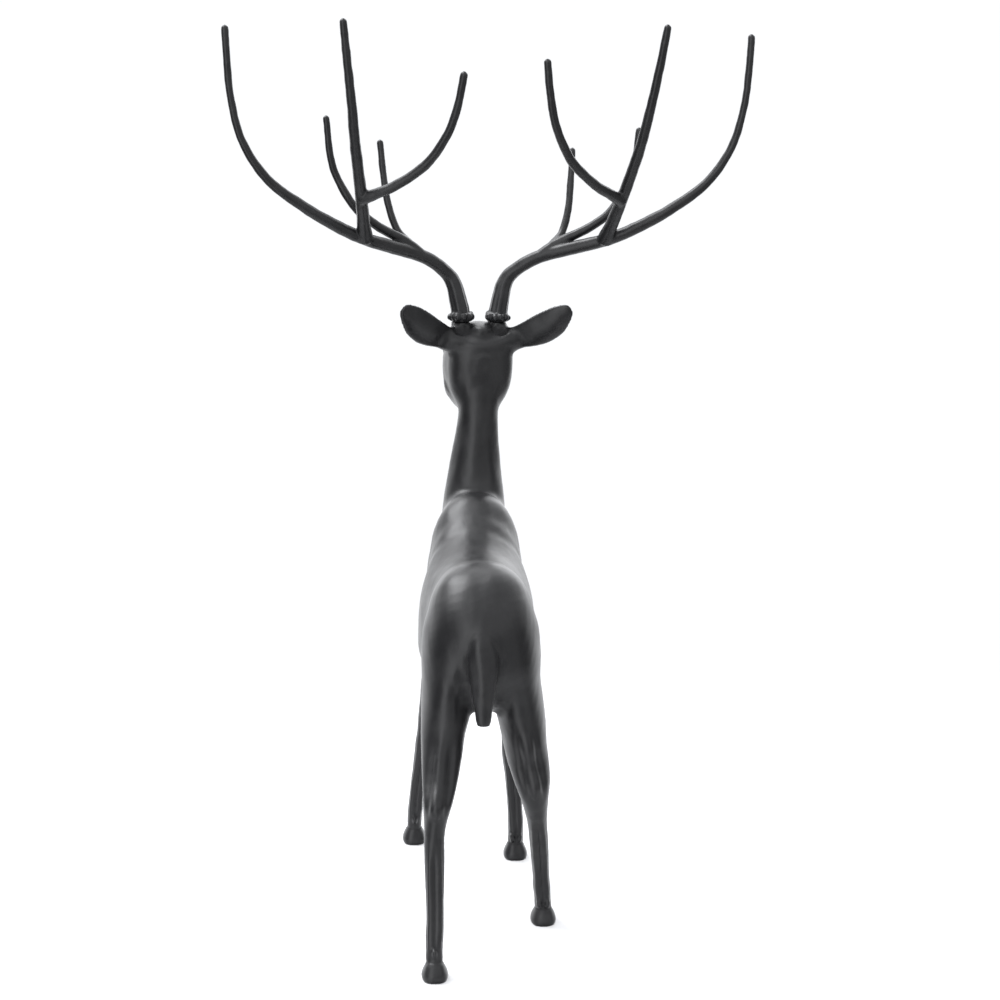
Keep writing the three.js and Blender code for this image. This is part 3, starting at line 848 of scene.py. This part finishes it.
# %% Strokes of the head and neck
HEAD_STROKES = [
    # The ridge across the back of the skull, from ear to ear, and the groove above it
    ([(-50, 14, -11), (-38, 19, -13), (-20, 28, -18), (0, 30.5, -20),
      (20, 28, -18), (38, 19, -13), (50, 14, -11)],
     11, 2),
    ([(-30, 12, -3), (-16, 19, -6), (0, 21, -7), (16, 19, -6), (30, 12, -3)], 10, -1.2),
    # The slit under the nose, and the bridge of the nose
    ([(0, -132, -90), (0, -131, -98)], 2.2, -1, True),
    ([(0, -60, -26), (0, -100, -57)], 12, 0.8),
]
HEAD_SIDE_STROKES = [
    # Behind the pedicle, the brow, the corner before the eye, the cheekbone, the jaw and the
    # hollow before it
    ([(11, 17, -1), (23, 18, -3), (35, 13, -7)], 9, -2.6),
    ([(22, -26, -2), (30, -42, -14), (29, -62, -27)], 8, 2),
    ([(30, -62, -42), (27, -74, -56)], 6, -1.8),
    ([(35, -56, -58), (28, -80, -72), (21, -98, -82)], 8, 1.4),
    ([(38, -14, -74), (34, -30, -92)], 22, 2),
    ([(28, -64, -90), (20, -88, -98)], 10, -1.8),
    # The mouth, and the lip above it
    ([(0, -131, -99), (10, -126, -100), (15.5, -110, -100), (18.5, -92, -97), (20, -84, -94)],
     3.4, -2, True),
    ([(13, -118, -92), (15.5, -106, -88)], 7, 1),
]
# The grooves beside nape and windpipe, and the ridge down the back of the neck
NECK_SIDE_STROKES = [
    ([(20, -180, 556), (25, -182, 516), (32, -180, 466)], 18, -1.2),
    ([(22, -222, 560), (24, -224, 520), (30, -226, 470)], 12, -1),
]
NECK_STROKES = [
    ([(-4, -176, 562), (-2, -172, 534), (0, -166, 504), (1, -158, 472)], 17, 0.9),
]
# Where the back of the skull runs into the neck, the seam is smoothed away: middle and reach
NAPE = (-8, -180, 588)
NAPE_REACH = (30, 22, 40)
NAPE_ROUNDS = 14
# Full smoothing out to this share of the reach
NAPE_CORE = 0.45
# The rim where leg turns to hoof is pressed in a little
CORONET = 20.0
CORONET_REACH = 3.4
CORONET_DEPTH = 0.9


def model(points, faces):
    """The points after the coronet rims and every stroke."""
    normals = normals_of(points, faces)
    share = np.clip(np.abs(points[:, 2:3] - CORONET) / CORONET_REACH, 0, 1)
    points = points - CORONET_DEPTH * (1 - share) ** 2 * normals
    single = MIDDLE_STROKES + NECK_STROKES + LEG_STROKES
    double = SIDE_STROKES + NECK_SIDE_STROKES
    head_double = [(mirrored(path), *rest) for path, *rest in HEAD_SIDE_STROKES] + HEAD_SIDE_STROKES
    for path, *rest in single + double + [(mirrored(path), *rest) for path, *rest in double]:
        points = stroke(points, normals, path, *rest)
    for path, *rest in HEAD_STROKES + head_double:
        points = stroke(points, normals, from_head(path), *rest)
    return points


points = model(points, faces)
nape = np.linalg.norm((points - NAPE) / NAPE_REACH, axis=1)
points = soften(points, edges, NAPE_ROUNDS, 1 - smoothstep(nape, NAPE_CORE, 1))
points = relax(points, edges, 1)
points[:, 2] = np.where(points[:, 2] < SOLE_LEVEL, 0, points[:, 2])
print("modelled height:", round(float(points[:, 2].max()), 1), "mm")

# %% [markdown]
# ## Hand-finished surface
# A casting like this is filed by hand, so light doesn't slide over it perfectly. Slow waves, a
# fraction of a millimetre high, give that uneven look, and they are mesh, so every view has them.

# %% Uneven casting
WAVES = 9
# Seed, length and height of the long and the short waves
CASTING_WAVES = [(11, 34, 0.05), (12, 12, 0.02)]


def unevenness(points, seed, length):
    """A sum of slow waves in fixed directions."""
    draws = np.random.default_rng(seed)
    total = np.zeros(len(points))
    for _ in range(WAVES):
        direction = draws.normal(size=3)
        direction /= np.linalg.norm(direction)
        wave = 2 * math.pi / (length * draws.uniform(0.6, 1.6))
        total += np.sin(points @ direction * wave + draws.uniform(0, 2 * math.pi))
    return total


height = sum(tall * unevenness(points, seed, length) for seed, length, tall in CASTING_WAVES)
raised = points + height[:, None] * normals_of(points, faces)
# The flat soles keep their level
points = np.where(points[:, 2:3] > 1, raised, points)
print("waves on the skin:", WAVES, "in each of", len(CASTING_WAVES), "sizes")

# %% [markdown]
# ## Paint
# The whole sculpture wears one satin black paint. On the real one it is slightly uneven: a little
# greyer and duller where it lies thin or dusty, glossier on handled ridges. Shader maths is written
# as plain expressions, with one small class that turns + and * into Math nodes.

# %% Shader maths
class Value:
    """A number on a socket, which can be used in a Python expression."""

    def __init__(self, paint, socket):
        self.paint = paint
        self.socket = socket

    def _maths(self, operation, first, second):
        return self.paint.node("ShaderNodeMath", {"operation": operation}, {0: first, 1: second})

    def __add__(self, other):
        return self._maths("ADD", self, other)

    def __sub__(self, other):
        return self._maths("SUBTRACT", self, other)

    def __rsub__(self, other):
        return self._maths("SUBTRACT", other, self)

    def __mul__(self, other):
        return self._maths("MULTIPLY", self, other)

    __radd__ = __add__
    __rmul__ = __mul__

    def between(self, low, high):
        settings = {"interpolation_type": "SMOOTHSTEP"}
        return self.paint.node("ShaderNodeMapRange", settings, {0: self, 1: low, 2: high})


class Paint:
    """A material whose nodes are added by name."""

    def __init__(self, name):
        self.material = bpy.data.materials.new(name)
        self.material.use_nodes = True
        self.nodes = self.material.node_tree.nodes
        self.links = self.material.node_tree.links
        self.surface = self.nodes["Principled BSDF"]

    def node(self, kind, settings=None, sockets=None, output=0):
        made = self.nodes.new(kind)
        for setting, value in (settings or {}).items():
            setattr(made, setting, value)
        self.feed(made, sockets or {})
        return Value(self, made.outputs[output])

    def vector_maths(self, operation, *values, output=0):
        settings = {"operation": operation}
        return self.node("ShaderNodeVectorMath", settings, dict(enumerate(values)), output)

    def feed(self, made, sockets):
        for socket, value in sockets.items():
            if isinstance(value, Value):
                self.links.new(value.socket, made.inputs[socket])
            else:
                made.inputs[socket].default_value = value


print("shader helpers ready")

# %% Satin black paint
DARK = (0.005, 0.005, 0.006, 1)
DUSTY = (0.014, 0.014, 0.015, 1)


def black_paint(name, grain, roughness):
    """Satin paint, duller and dustier in hollows, which no hand or cloth reaches."""
    paint = Paint(name)
    place = paint.node("ShaderNodeTexCoord", output=3)
    hollow = paint.node("ShaderNodeAttribute", {"attribute_name": "hollow"}, output=2)
    cloud = paint.node("ShaderNodeTexNoise", sockets={"Vector": place, "Scale": 22, "Detail": 5})
    speck = paint.node("ShaderNodeTexNoise", sockets={"Vector": place, "Scale": grain, "Detail": 3})
    streak_place = paint.node("ShaderNodeMapping", sockets={"Vector": place, "Scale": (90, 90, 9)})
    streak = paint.node("ShaderNodeTexNoise", sockets={"Vector": streak_place, "Scale": 1, "Detail": 4})
    dust = cloud.between(0.42, 0.68) * 0.7 + streak.between(0.5, 0.75) * 0.3
    colour = paint.node("ShaderNodeMix", {"data_type": "RGBA"}, {0: dust, 6: DARK, 7: DUSTY}, output=2)
    bumps = speck * 0.6 + cloud * 0.4
    relief = paint.node("ShaderNodeBump", sockets={
        "Height": bumps, "Strength": 0.22, "Distance": 0.0006,
    })
    paint.feed(paint.surface, {
        "Base Color": colour,
        "Roughness": roughness + dust * 0.1 - streak.between(0.55, 0.8) * 0.05 + hollow * 0.34,
        "Normal": relief,
        "Specular IOR Level": 0.42,
        "Coat Weight": 0.1 * (1 - hollow),
        "Coat Roughness": 0.28,
    })
    return paint.material


body_paint = black_paint("satin_black_paint", 420, 0.36)
antler_paint = black_paint("antler_black_paint", 520, 0.38)
print("paints:", body_paint.name, antler_paint.name)

# %% [markdown]
# ## The body as one piece
# The net has more faces than it needs on the flanks, where the skin is calm. Decimate takes them
# away where they matter least and keeps them at the eyes, hooves and ears.

# %% Make the body
TRIANGLE_BUDGET = 190000
# Rounds of smoothing that a hollow is measured against, and the depth in mm that counts as full
BODY_HOLLOWS = (24, 0.8)


def mesh_of(name, points, faces):
    """A mesh of four-sided faces."""
    mesh = bpy.data.meshes.new(name)
    mesh.vertices.add(len(points))
    mesh.vertices.foreach_set("co", points.astype(np.float32).ravel())
    mesh.loops.add(faces.size)
    mesh.loops.foreach_set("vertex_index", faces.astype(np.int32).ravel())
    mesh.polygons.add(len(faces))
    mesh.polygons.foreach_set("loop_start", np.arange(0, faces.size, faces.shape[1], dtype=np.int32))
    mesh.update(calc_edges=True)
    mesh.validate()
    return mesh


def painted(mesh, paint):
    mesh.materials.clear()
    mesh.materials.append(paint)
    mesh.shade_smooth()


def linked(name, data):
    """An object of the scene that shows the data."""
    piece = bpy.data.objects.new(name, data)
    bpy.context.scene.collection.objects.link(piece)
    return piece


def read_rows(items, key, size, kind=np.float32):
    """The same few numbers of every item, one row to an item."""
    values = np.empty(len(items) * size, kind)
    items.foreach_get(key, values)
    return values.reshape(-1, size)


def points_and_edges(mesh):
    """The mesh's corners in millimetres, and the pairs of corners that its edges join."""
    points = read_rows(mesh.vertices, "co", 3).astype(float) / MM
    return points, read_rows(mesh.edges, "vertices", 2, np.int32)


def mark_hollows(mesh, rounds, depth):
    """Stores how far each corner lies below the smoothed skin, 1 being the given depth in mm."""
    points, edges = points_and_edges(mesh)
    smooth = soften(points, edges, rounds, np.ones(len(points)))
    below = np.sum((smooth - points) * read_rows(mesh.vertices, "normal", 3), axis=1)
    hollow = mesh.attributes.new("hollow", "FLOAT", "POINT")
    hollow.data.foreach_set("value", smoothstep(below, 0, depth).astype(np.float32))


def settled(piece):
    """The piece with its modifiers made real."""
    depsgraph = bpy.context.evaluated_depsgraph_get()
    mesh = bpy.data.meshes.new_from_object(piece.evaluated_get(depsgraph))
    piece.modifiers.clear()
    old = piece.data
    piece.data = mesh
    bpy.data.meshes.remove(old)
    return mesh


def triangles_of(piece):
    return sum(len(face.vertices) - 2 for face in piece.data.polygons)


body = linked("cast_body", mesh_of("cast_body", (points + SHIFT) * MM, faces))
painted(body.data, body_paint)
triangles = 2 * len(faces)
if triangles > TRIANGLE_BUDGET:
    thin = body.modifiers.new("thin", "DECIMATE")
    thin.ratio = TRIANGLE_BUDGET / triangles
    settled(body)
body.data.shade_smooth()
mark_hollows(body.data, *BODY_HOLLOWS)
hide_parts("deer_body")
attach(body, "root")
print("body triangles:", triangles_of(body))

# %% [markdown]
# ## Antlers
# An antler is rods along paths: a main beam, and tines that leave it at forks. A Geometry Nodes tree
# sweeps a fluted circle along every path, thickens the roots, roughens the surface as cast horn is,
# and sets a ring of knobs, the burr, round the foot. The paths are drawn in the head's frame.

# %% Paths of the antlers
BEAM_PATH = [
    (22.6, 0.5, 9), (24, -0.8, 20), (27, -4, 34), (31, -8, 49.5), (39, -9, 62.5), (58, -1.5, 78.2),
    (78, 3.2, 87.8), (104, 13.3, 96.2), (148, 33, 110.3), (180, 43, 125), (223, 50.5, 149.8),
    (267, 51.2, 182.6), (297, 51.5, 227.5), (311, 50, 281), (316, 47, 335.5), (317.2, 44.5, 357),
]
TALL_PATH = [
    (147, 33, 109), (157.5, 74, 164), (170, 108, 229), (177.2, 126, 278), (185, 136, 332),
    (190.2, 141, 371),
]
INNER_PATH = [
    (157.5, 74, 162), (140, 88, 171), (119, 99, 182.5), (87, 114, 209.5), (65, 128, 247),
    (54.5, 136, 284), (49, 141, 321),
]
FRONT_PATH = [
    (72, 2, 85), (92, 4, 102), (130, 10, 122.5), (157.5, 12, 144.5), (178, 6, 177), (187, 5, 204),
    (192, 2.5, 246),
]
BROW_PATH = [(88, 3.5, 100), (102, -8, 115), (111.5, -21, 143), (116.5, -36, 177), (119.8, -47, 215)]
# How much taller a tine is drawn on the left, at 1, and on the right, at -1
RISE = {
    1: {"inner": 0.95, "front": 1.03, "brow": 1.03},
    -1: {"inner": 1.05, "front": 0.97, "brow": 0.97},
}
BEAM_FOOT_RADIUS = 12.0
BEAM_RADIUS = 8.4
TINE_RADIUS = 6.6
TINE_TIP_RADIUS = 4.6
SMALL_TINE_RADIUS = 5.0
SMALL_TIP_RADIUS = 4.0
ROOT_FLARE = 0.22
# Shares of the beam's length between which its foot and then its upper part get thinner
FOOT_TAPER = (0.01, 0.16)
BEAM_TAPER = (0.25, 0.85)
# Millimetres up a tine between which the flare of its root fades
FLARE_FADE = (4, 26)
# A rod ends so much beyond its last point that no ring has a radius of zero
TIP_END = 0.15
ROD_STEPS = 30


def even_path(path, step=2.5):
    """The path as points an even step apart."""
    dense = curve_through(path, ROD_STEPS)
    walked = np.concatenate([[0], np.cumsum(np.linalg.norm(np.diff(dense, axis=0), axis=1))])
    places = np.linspace(0, walked[-1], int(walked[-1] / step) + 1)
    return np.column_stack([np.interp(places, walked, dense[:, k]) for k in range(3)]), places


def rod(path, side, root_radius, tip_radius, rise=1.0, is_beam=False):
    """The middle line of a beam or tine with a rounded tip, and its radius at every point."""
    root_height = path[0][2]
    drawn = [(side * x, y, root_height + (z - root_height) * rise) for x, y, z in path]
    end = np.array(drawn[-1]) - np.array(drawn[-2])
    drawn[-1] = tuple(np.array(drawn[-1]) + tip_radius * end / np.linalg.norm(end))
    line, walked = even_path(drawn)
    share = walked / walked[-1]
    if is_beam:
        radius = root_radius + (BEAM_FOOT_RADIUS - root_radius) * (1 - smoothstep(share, *FOOT_TAPER))
        radius = radius - (root_radius - tip_radius) * smoothstep(share, *BEAM_TAPER)
    else:
        radius = root_radius + (tip_radius - root_radius) * share
        radius = radius * (1 + ROOT_FLARE * (1 - smoothstep(walked, *FLARE_FADE)))
    left = walked[-1] - walked + TIP_END
    radius = radius * np.sqrt(1 - (1 - np.minimum(left / radius, 1)) ** 2)
    return line, radius


def antler_rods(side):
    rise = RISE[side]
    return [
        rod(BEAM_PATH, side, BEAM_RADIUS, TINE_TIP_RADIUS, is_beam=True),
        rod(TALL_PATH, side, BEAM_RADIUS, TINE_TIP_RADIUS),
        rod(INNER_PATH, side, TINE_RADIUS, TINE_TIP_RADIUS, rise["inner"]),
        rod(FRONT_PATH, side, TINE_RADIUS, SMALL_TIP_RADIUS, rise["front"]),
        rod(BROW_PATH, side, SMALL_TINE_RADIUS, SMALL_TIP_RADIUS, rise["brow"]),
    ]


print("points on the left beam:", len(antler_rods(1)[0][0]))

# %% The antler tree
BURR_RADIUS = 14.8
BURR_THICKNESS = 11.0
JOINT_GAP = 0.3


class Tree:
    """A Geometry Nodes tree whose nodes are added by name."""

    def __init__(self, name, inputs):
        self.group = bpy.data.node_groups.new(name, "GeometryNodeTree")
        self.group.interface.new_socket("Geometry", in_out="OUTPUT", socket_type="NodeSocketGeometry")
        self.group.interface.new_socket("Geometry", in_out="INPUT", socket_type="NodeSocketGeometry")
        self.identifiers = {}
        for label, kind in inputs.items():
            kind = "NodeSocket" + kind
            socket = self.group.interface.new_socket(label, in_out="INPUT", socket_type=kind)
            self.identifiers[label] = socket.identifier
        self.start = self.group.nodes.new("NodeGroupInput")
        self.end = self.group.nodes.new("NodeGroupOutput")

    def given(self, label):
        return self.start.outputs[label]

    def node(self, kind, settings=None, sockets=None, output=0):
        made = self.group.nodes.new(kind)
        for setting, value in (settings or {}).items():
            setattr(made, setting, value)
        for socket, value in (sockets or {}).items():
            several = value if isinstance(value, list) else [value]
            for one in several:
                if isinstance(one, bpy.types.NodeSocket):
                    self.group.links.new(one, made.inputs[socket])
                else:
                    made.inputs[socket].default_value = one
        return made.outputs[output]

    def maths(self, operation, *values):
        return self.node("ShaderNodeMath", {"operation": operation}, dict(enumerate(values)))

    def finish(self, geometry):
        self.group.links.new(geometry, self.end.inputs["Geometry"])


def antler_tree():
    tree = Tree("cast_antler", {
        "Sides": "Int", "Flutes": "Float", "Flute Depth": "Float", "Flute Reach": "Float",
        "Lump Height": "Float", "Lump Scale": "Float", "Knobs": "Int", "Burr Radius": "Float",
        "Burr Thickness": "Float", "Knob Radius": "Float", "Seat": "Vector", "Seed": "Int",
        "Paint": "Material",
    })
    given = tree.given

    # Rods: a circle swept along every path, with its turn and the height above the foot kept
    circle = tree.node("GeometryNodeCurvePrimitiveCircle", sockets={
        "Resolution": given("Sides"), "Radius": 1,
    })
    turn = tree.node("GeometryNodeSplineParameter")
    kept_turn = tree.group.nodes.new("GeometryNodeCaptureAttribute")
    kept_turn.capture_items.new("FLOAT", "turn")
    tree.group.links.new(circle, kept_turn.inputs["Geometry"])
    tree.group.links.new(turn, kept_turn.inputs["turn"])
    radius = tree.node("GeometryNodeInputRadius")
    rods = tree.node("GeometryNodeCurveToMesh", sockets={
        "Curve": given("Geometry"), "Profile Curve": kept_turn.outputs["Geometry"],
        "Scale": radius, "Fill Caps": True,
    })
    position = tree.node("GeometryNodeInputPosition")
    normal = tree.node("GeometryNodeInputNormal")
    height = tree.node("ShaderNodeSeparateXYZ", sockets={"Vector": position}, output=2)

    # Flutes: shallow grooves along the foot of the beam, which fade out with height
    flutes_passed = tree.maths("MULTIPLY", kept_turn.outputs["turn"], given("Flutes"))
    angle = tree.maths("MULTIPLY", flutes_passed, math.tau)
    groove = tree.maths("MULTIPLY", tree.maths("SUBTRACT", tree.maths("COSINE", angle), 1), 0.5)
    fade = tree.node("ShaderNodeMapRange", {"interpolation_type": "SMOOTHSTEP"}, {
        0: height, 1: 0.02, 2: given("Flute Reach"), 3: 1, 4: 0.12,
    })
    flute = tree.maths("MULTIPLY", tree.maths("MULTIPLY", groove, fade), given("Flute Depth"))

    # Lumps: noise along the surface, as on a horn cast from life
    noise = tree.node("ShaderNodeTexNoise", {"noise_dimensions": "4D"}, {
        "Vector": position, "W": given("Seed"), "Scale": given("Lump Scale"), "Detail": 2,
    })
    lump = tree.maths("MULTIPLY", tree.maths("SUBTRACT", noise, 0.5), given("Lump Height"))
    offset = tree.node("ShaderNodeVectorMath", {"operation": "SCALE"}, {
        0: normal, "Scale": tree.maths("ADD", flute, lump),
    })
    rods = tree.node("GeometryNodeSetPosition", sockets={"Geometry": rods, "Offset": offset})

    # Burr: a thick ring with knobs of uneven size round its rim
    ring_radius = tree.maths("MULTIPLY", given("Burr Radius"), 0.86)
    ring = tree.node("GeometryNodeMeshCylinder", {"fill_type": "TRIANGLE_FAN"}, {
        "Vertices": 48, "Side Segments": 3, "Radius": ring_radius, "Depth": given("Burr Thickness"),
    })
    rim = tree.node("GeometryNodeMeshCircle", sockets={
        "Vertices": given("Knobs"), "Radius": tree.maths("MULTIPLY", given("Burr Radius"), 0.88),
    })
    ball = tree.node("GeometryNodeMeshIcoSphere", sockets={
        "Radius": given("Knob Radius"), "Subdivisions": 3,
    })
    size = tree.node("FunctionNodeRandomValue", {"data_type": "FLOAT_VECTOR"}, {
        "Min": (0.8, 0.8, 0.85), "Max": (1.15, 1.15, 1.3), "Seed": given("Seed"),
    })
    knobs = tree.node("GeometryNodeInstanceOnPoints", sockets={
        "Points": rim, "Instance": ball, "Scale": size,
    })
    level = tree.node("FunctionNodeRandomValue", {"data_type": "FLOAT_VECTOR"}, {
        "Min": (-0.0008, -0.0008, -0.0014), "Max": (0.0008, 0.0008, 0.0014), "Seed": given("Seed"),
    })
    knobs = tree.node("GeometryNodeTranslateInstances", sockets={
        "Instances": knobs, "Translation": level,
    })
    burr = tree.node("GeometryNodeJoinGeometry", sockets={0: [ring, knobs]})
    half = tree.node("ShaderNodeCombineXYZ", sockets={
        "Z": tree.maths("MULTIPLY", given("Burr Thickness"), 0.5),
    })
    place = tree.node("ShaderNodeVectorMath", {"operation": "ADD"}, {0: given("Seat"), 1: half})
    burr = tree.node("GeometryNodeTransform", sockets={"Geometry": burr, "Translation": place})

    whole = tree.node("GeometryNodeJoinGeometry", sockets={0: [rods, burr]})
    whole = tree.node("GeometryNodeRealizeInstances", sockets={"Geometry": whole})
    whole = tree.node("GeometryNodeSetMaterial", sockets={
        "Geometry": whole, "Material": given("Paint"),
    })
    tree.finish(whole)
    return tree


tree = antler_tree()
print("antler tree nodes:", len(tree.group.nodes))

# %% [markdown]
# ## Fusing an antler
# The rods and the burr overlap, as cast metal never does. A voxel remesh turns them into one skin,
# and smoothing near each fork rounds the seam between a tine and its beam. The underside of the burr
# is then pressed flat, a hair above the pedicle that carries it.

# %% Build both antlers
FORKS = [(148, 33, 110), (157, 74, 163), (74, 2, 87), (90, 3, 99)]
FORK_REACH = 22.0
# Full smoothing out to this share of the reach
FORK_CORE = 0.4
FORK_ROUNDS = 8
FUSED_ROUNDS = 2
ANTLER_HOLLOWS = (8, 0.35)
ANTLER_CELL = 1.15
ANTLER_SIZES = {
    "Sides": 24, "Flutes": 7.0, "Flute Depth": 0.0016, "Flute Reach": 0.085,
    "Lump Height": 0.0017, "Lump Scale": 75.0, "Knobs": 11, "Burr Radius": BURR_RADIUS * MM,
    "Burr Thickness": BURR_THICKNESS * MM, "Knob Radius": 0.0039,
}


def path_curve(name, rods):
    """A curve with one line of points for each rod."""
    curve = bpy.data.curves.new(name, "CURVE")
    curve.dimensions = "3D"
    for line, radius in rods:
        spline = curve.splines.new("POLY")
        spline.points.add(len(line) - 1)
        spline.points.foreach_set("co", np.column_stack([line * MM, np.ones(len(line))]).ravel())
        spline.points.foreach_set("radius", radius * MM)
    return curve


def antler(side, name, seed):
    """One antler: grown on its paths, fused to one skin, smoothed and set on the head."""
    curve = path_curve(name + "_paths", antler_rods(side))
    piece = linked(name, curve)
    grow = piece.modifiers.new("grow", "NODES")
    grow.node_group = tree.group
    foot = PEDICLE_RISE + JOINT_GAP
    settings = dict(ANTLER_SIZES, Seed=seed, Paint=antler_paint)
    settings["Seat"] = (side * PEDICLE_X * MM, PEDICLE_Y * MM, foot * MM)
    for label, value in settings.items():
        grow[tree.identifiers[label]] = value
    depsgraph = bpy.context.evaluated_depsgraph_get()
    grown = bpy.data.meshes.new_from_object(piece.evaluated_get(depsgraph))
    bpy.data.objects.remove(piece)
    bpy.data.curves.remove(curve)

    piece = linked(name, grown)
    fuse = piece.modifiers.new("fuse", "REMESH")
    fuse.mode = "VOXEL"
    fuse.voxel_size = ANTLER_CELL * MM
    mesh = settled(piece)

    points, edges = points_and_edges(mesh)
    nearness = np.zeros(len(points))
    for x, y, z in FORKS:
        distance = np.linalg.norm(points - (side * x, y, z), axis=1)
        near = 1 - smoothstep(distance, FORK_REACH * FORK_CORE, FORK_REACH)
        nearness = np.maximum(nearness, near)
    points = relax(points, edges, FUSED_ROUNDS)
    points = soften(points, edges, FORK_ROUNDS, nearness)
    points[:, 2] = np.maximum(points[:, 2], foot)
    placed = (from_head(points) + SHIFT) * MM
    mesh.vertices.foreach_set("co", placed.astype(np.float32).ravel())
    mesh.update()
    painted(mesh, antler_paint)
    mark_hollows(mesh, *ANTLER_HOLLOWS)
    return piece


for side, node, seed in ((1, "left_antler", 3), (-1, "right_antler", 8)):
    piece = antler(side, "cast_" + node, seed)
    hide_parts(node)
    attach(piece, "root")
    print(piece.name, "triangles:", triangles_of(piece))

# %% [markdown]
# ## A pale studio
# Black satin paint shows almost nothing of its own colour: what one sees is the room in it. The real
# one stood in a white tent, so bright walls graze along loin and shoulders, and the middle stays
# dark. Here the world is that tent, with a few soft bright places in it, and a pale floor below.

# %% Floor and world
FLOOR_RADIUS = 1.3
FLOOR_FADE = 0.35
FLOOR_ALPHA = 0.6
FLOOR_CORNERS = 96
FLOOR_COLOUR = (0.86, 0.86, 0.87, 1)
FLOOR_ROUGHNESS = 0.7

floor_mesh = bpy.data.meshes.new("floor")
turns = [2 * math.pi * corner / FLOOR_CORNERS for corner in range(FLOOR_CORNERS)]
rim = [(FLOOR_RADIUS * math.cos(turn), FLOOR_RADIUS * math.sin(turn), 0) for turn in turns]
floor_mesh.from_pydata(rim, [], [tuple(range(FLOOR_CORNERS))])
floor = linked("floor", floor_mesh)
pale = Paint("pale_floor")
spot = pale.node("ShaderNodeTexCoord", output=3)
distance = pale.vector_maths("LENGTH", spot, output=1)
pale.feed(pale.surface, {
    "Base Color": FLOOR_COLOUR,
    "Roughness": FLOOR_ROUGHNESS,
    "Alpha": FLOOR_ALPHA * (1 - distance.between(FLOOR_FADE, FLOOR_RADIUS)),
})
floor_mesh.materials.append(pale.material)

TENT_COLOUR = (0.97, 0.98, 1.0, 1)
TENT_LEVEL = 0.2
BACKDROP_LEVEL = 1.04
# Soft bright places in the tent: direction, brightness, the nearness at which a glow starts, and
# how much its height counts, so that a low share makes an upright strip
GLOWS = [
    ((0, 0.1, 1), 0.75, -0.1, 1),
    ((0.44, -0.27, 0.86), 9, 0.88, 1),
    ((-0.35, -0.8, 0.45), 1.2, 0.8, 1),
    ((0.545, 0.839, 0.1), 1.7, 0.88, 0.3),
    ((-0.7, 0.5, 0.1), 0.5, 0.85, 0.3),
    ((0.05, 0.95, 0.3), 0.5, 0.7, 1),
    ((0.0, -1.0, 0.05), 1.5, 0.1, 1),
]


class Tent(Paint):
    """The world's own node tree, with the same helpers as a paint."""

    def __init__(self, world):
        world.use_nodes = True
        self.nodes = world.node_tree.nodes
        self.links = world.node_tree.links
        self.surface = self.nodes["Background"]


world = bpy.data.worlds.new("tent")
tent = Tent(world)
direction = tent.node("ShaderNodeTexCoord", output=0)
level = TENT_LEVEL
for place, brightness, start, upright in GLOWS:
    shares = Vector((1, 1, upright))
    flat = tent.vector_maths("MULTIPLY", direction, shares)
    unit = tent.vector_maths("NORMALIZE", flat)
    facing = (Vector(place) * shares).normalized()
    nearness = tent.vector_maths("DOT_PRODUCT", unit, facing, output=1)
    level = nearness.between(start, 1) * brightness + level
seen = tent.node("ShaderNodeLightPath", output=0)
strength = level * (1 - seen) + seen * BACKDROP_LEVEL
tent.feed(tent.surface, {"Color": TENT_COLOUR, "Strength": strength})
bpy.context.scene.world = world
bpy.context.scene.view_settings.view_transform = "Standard"
print("studio ready")
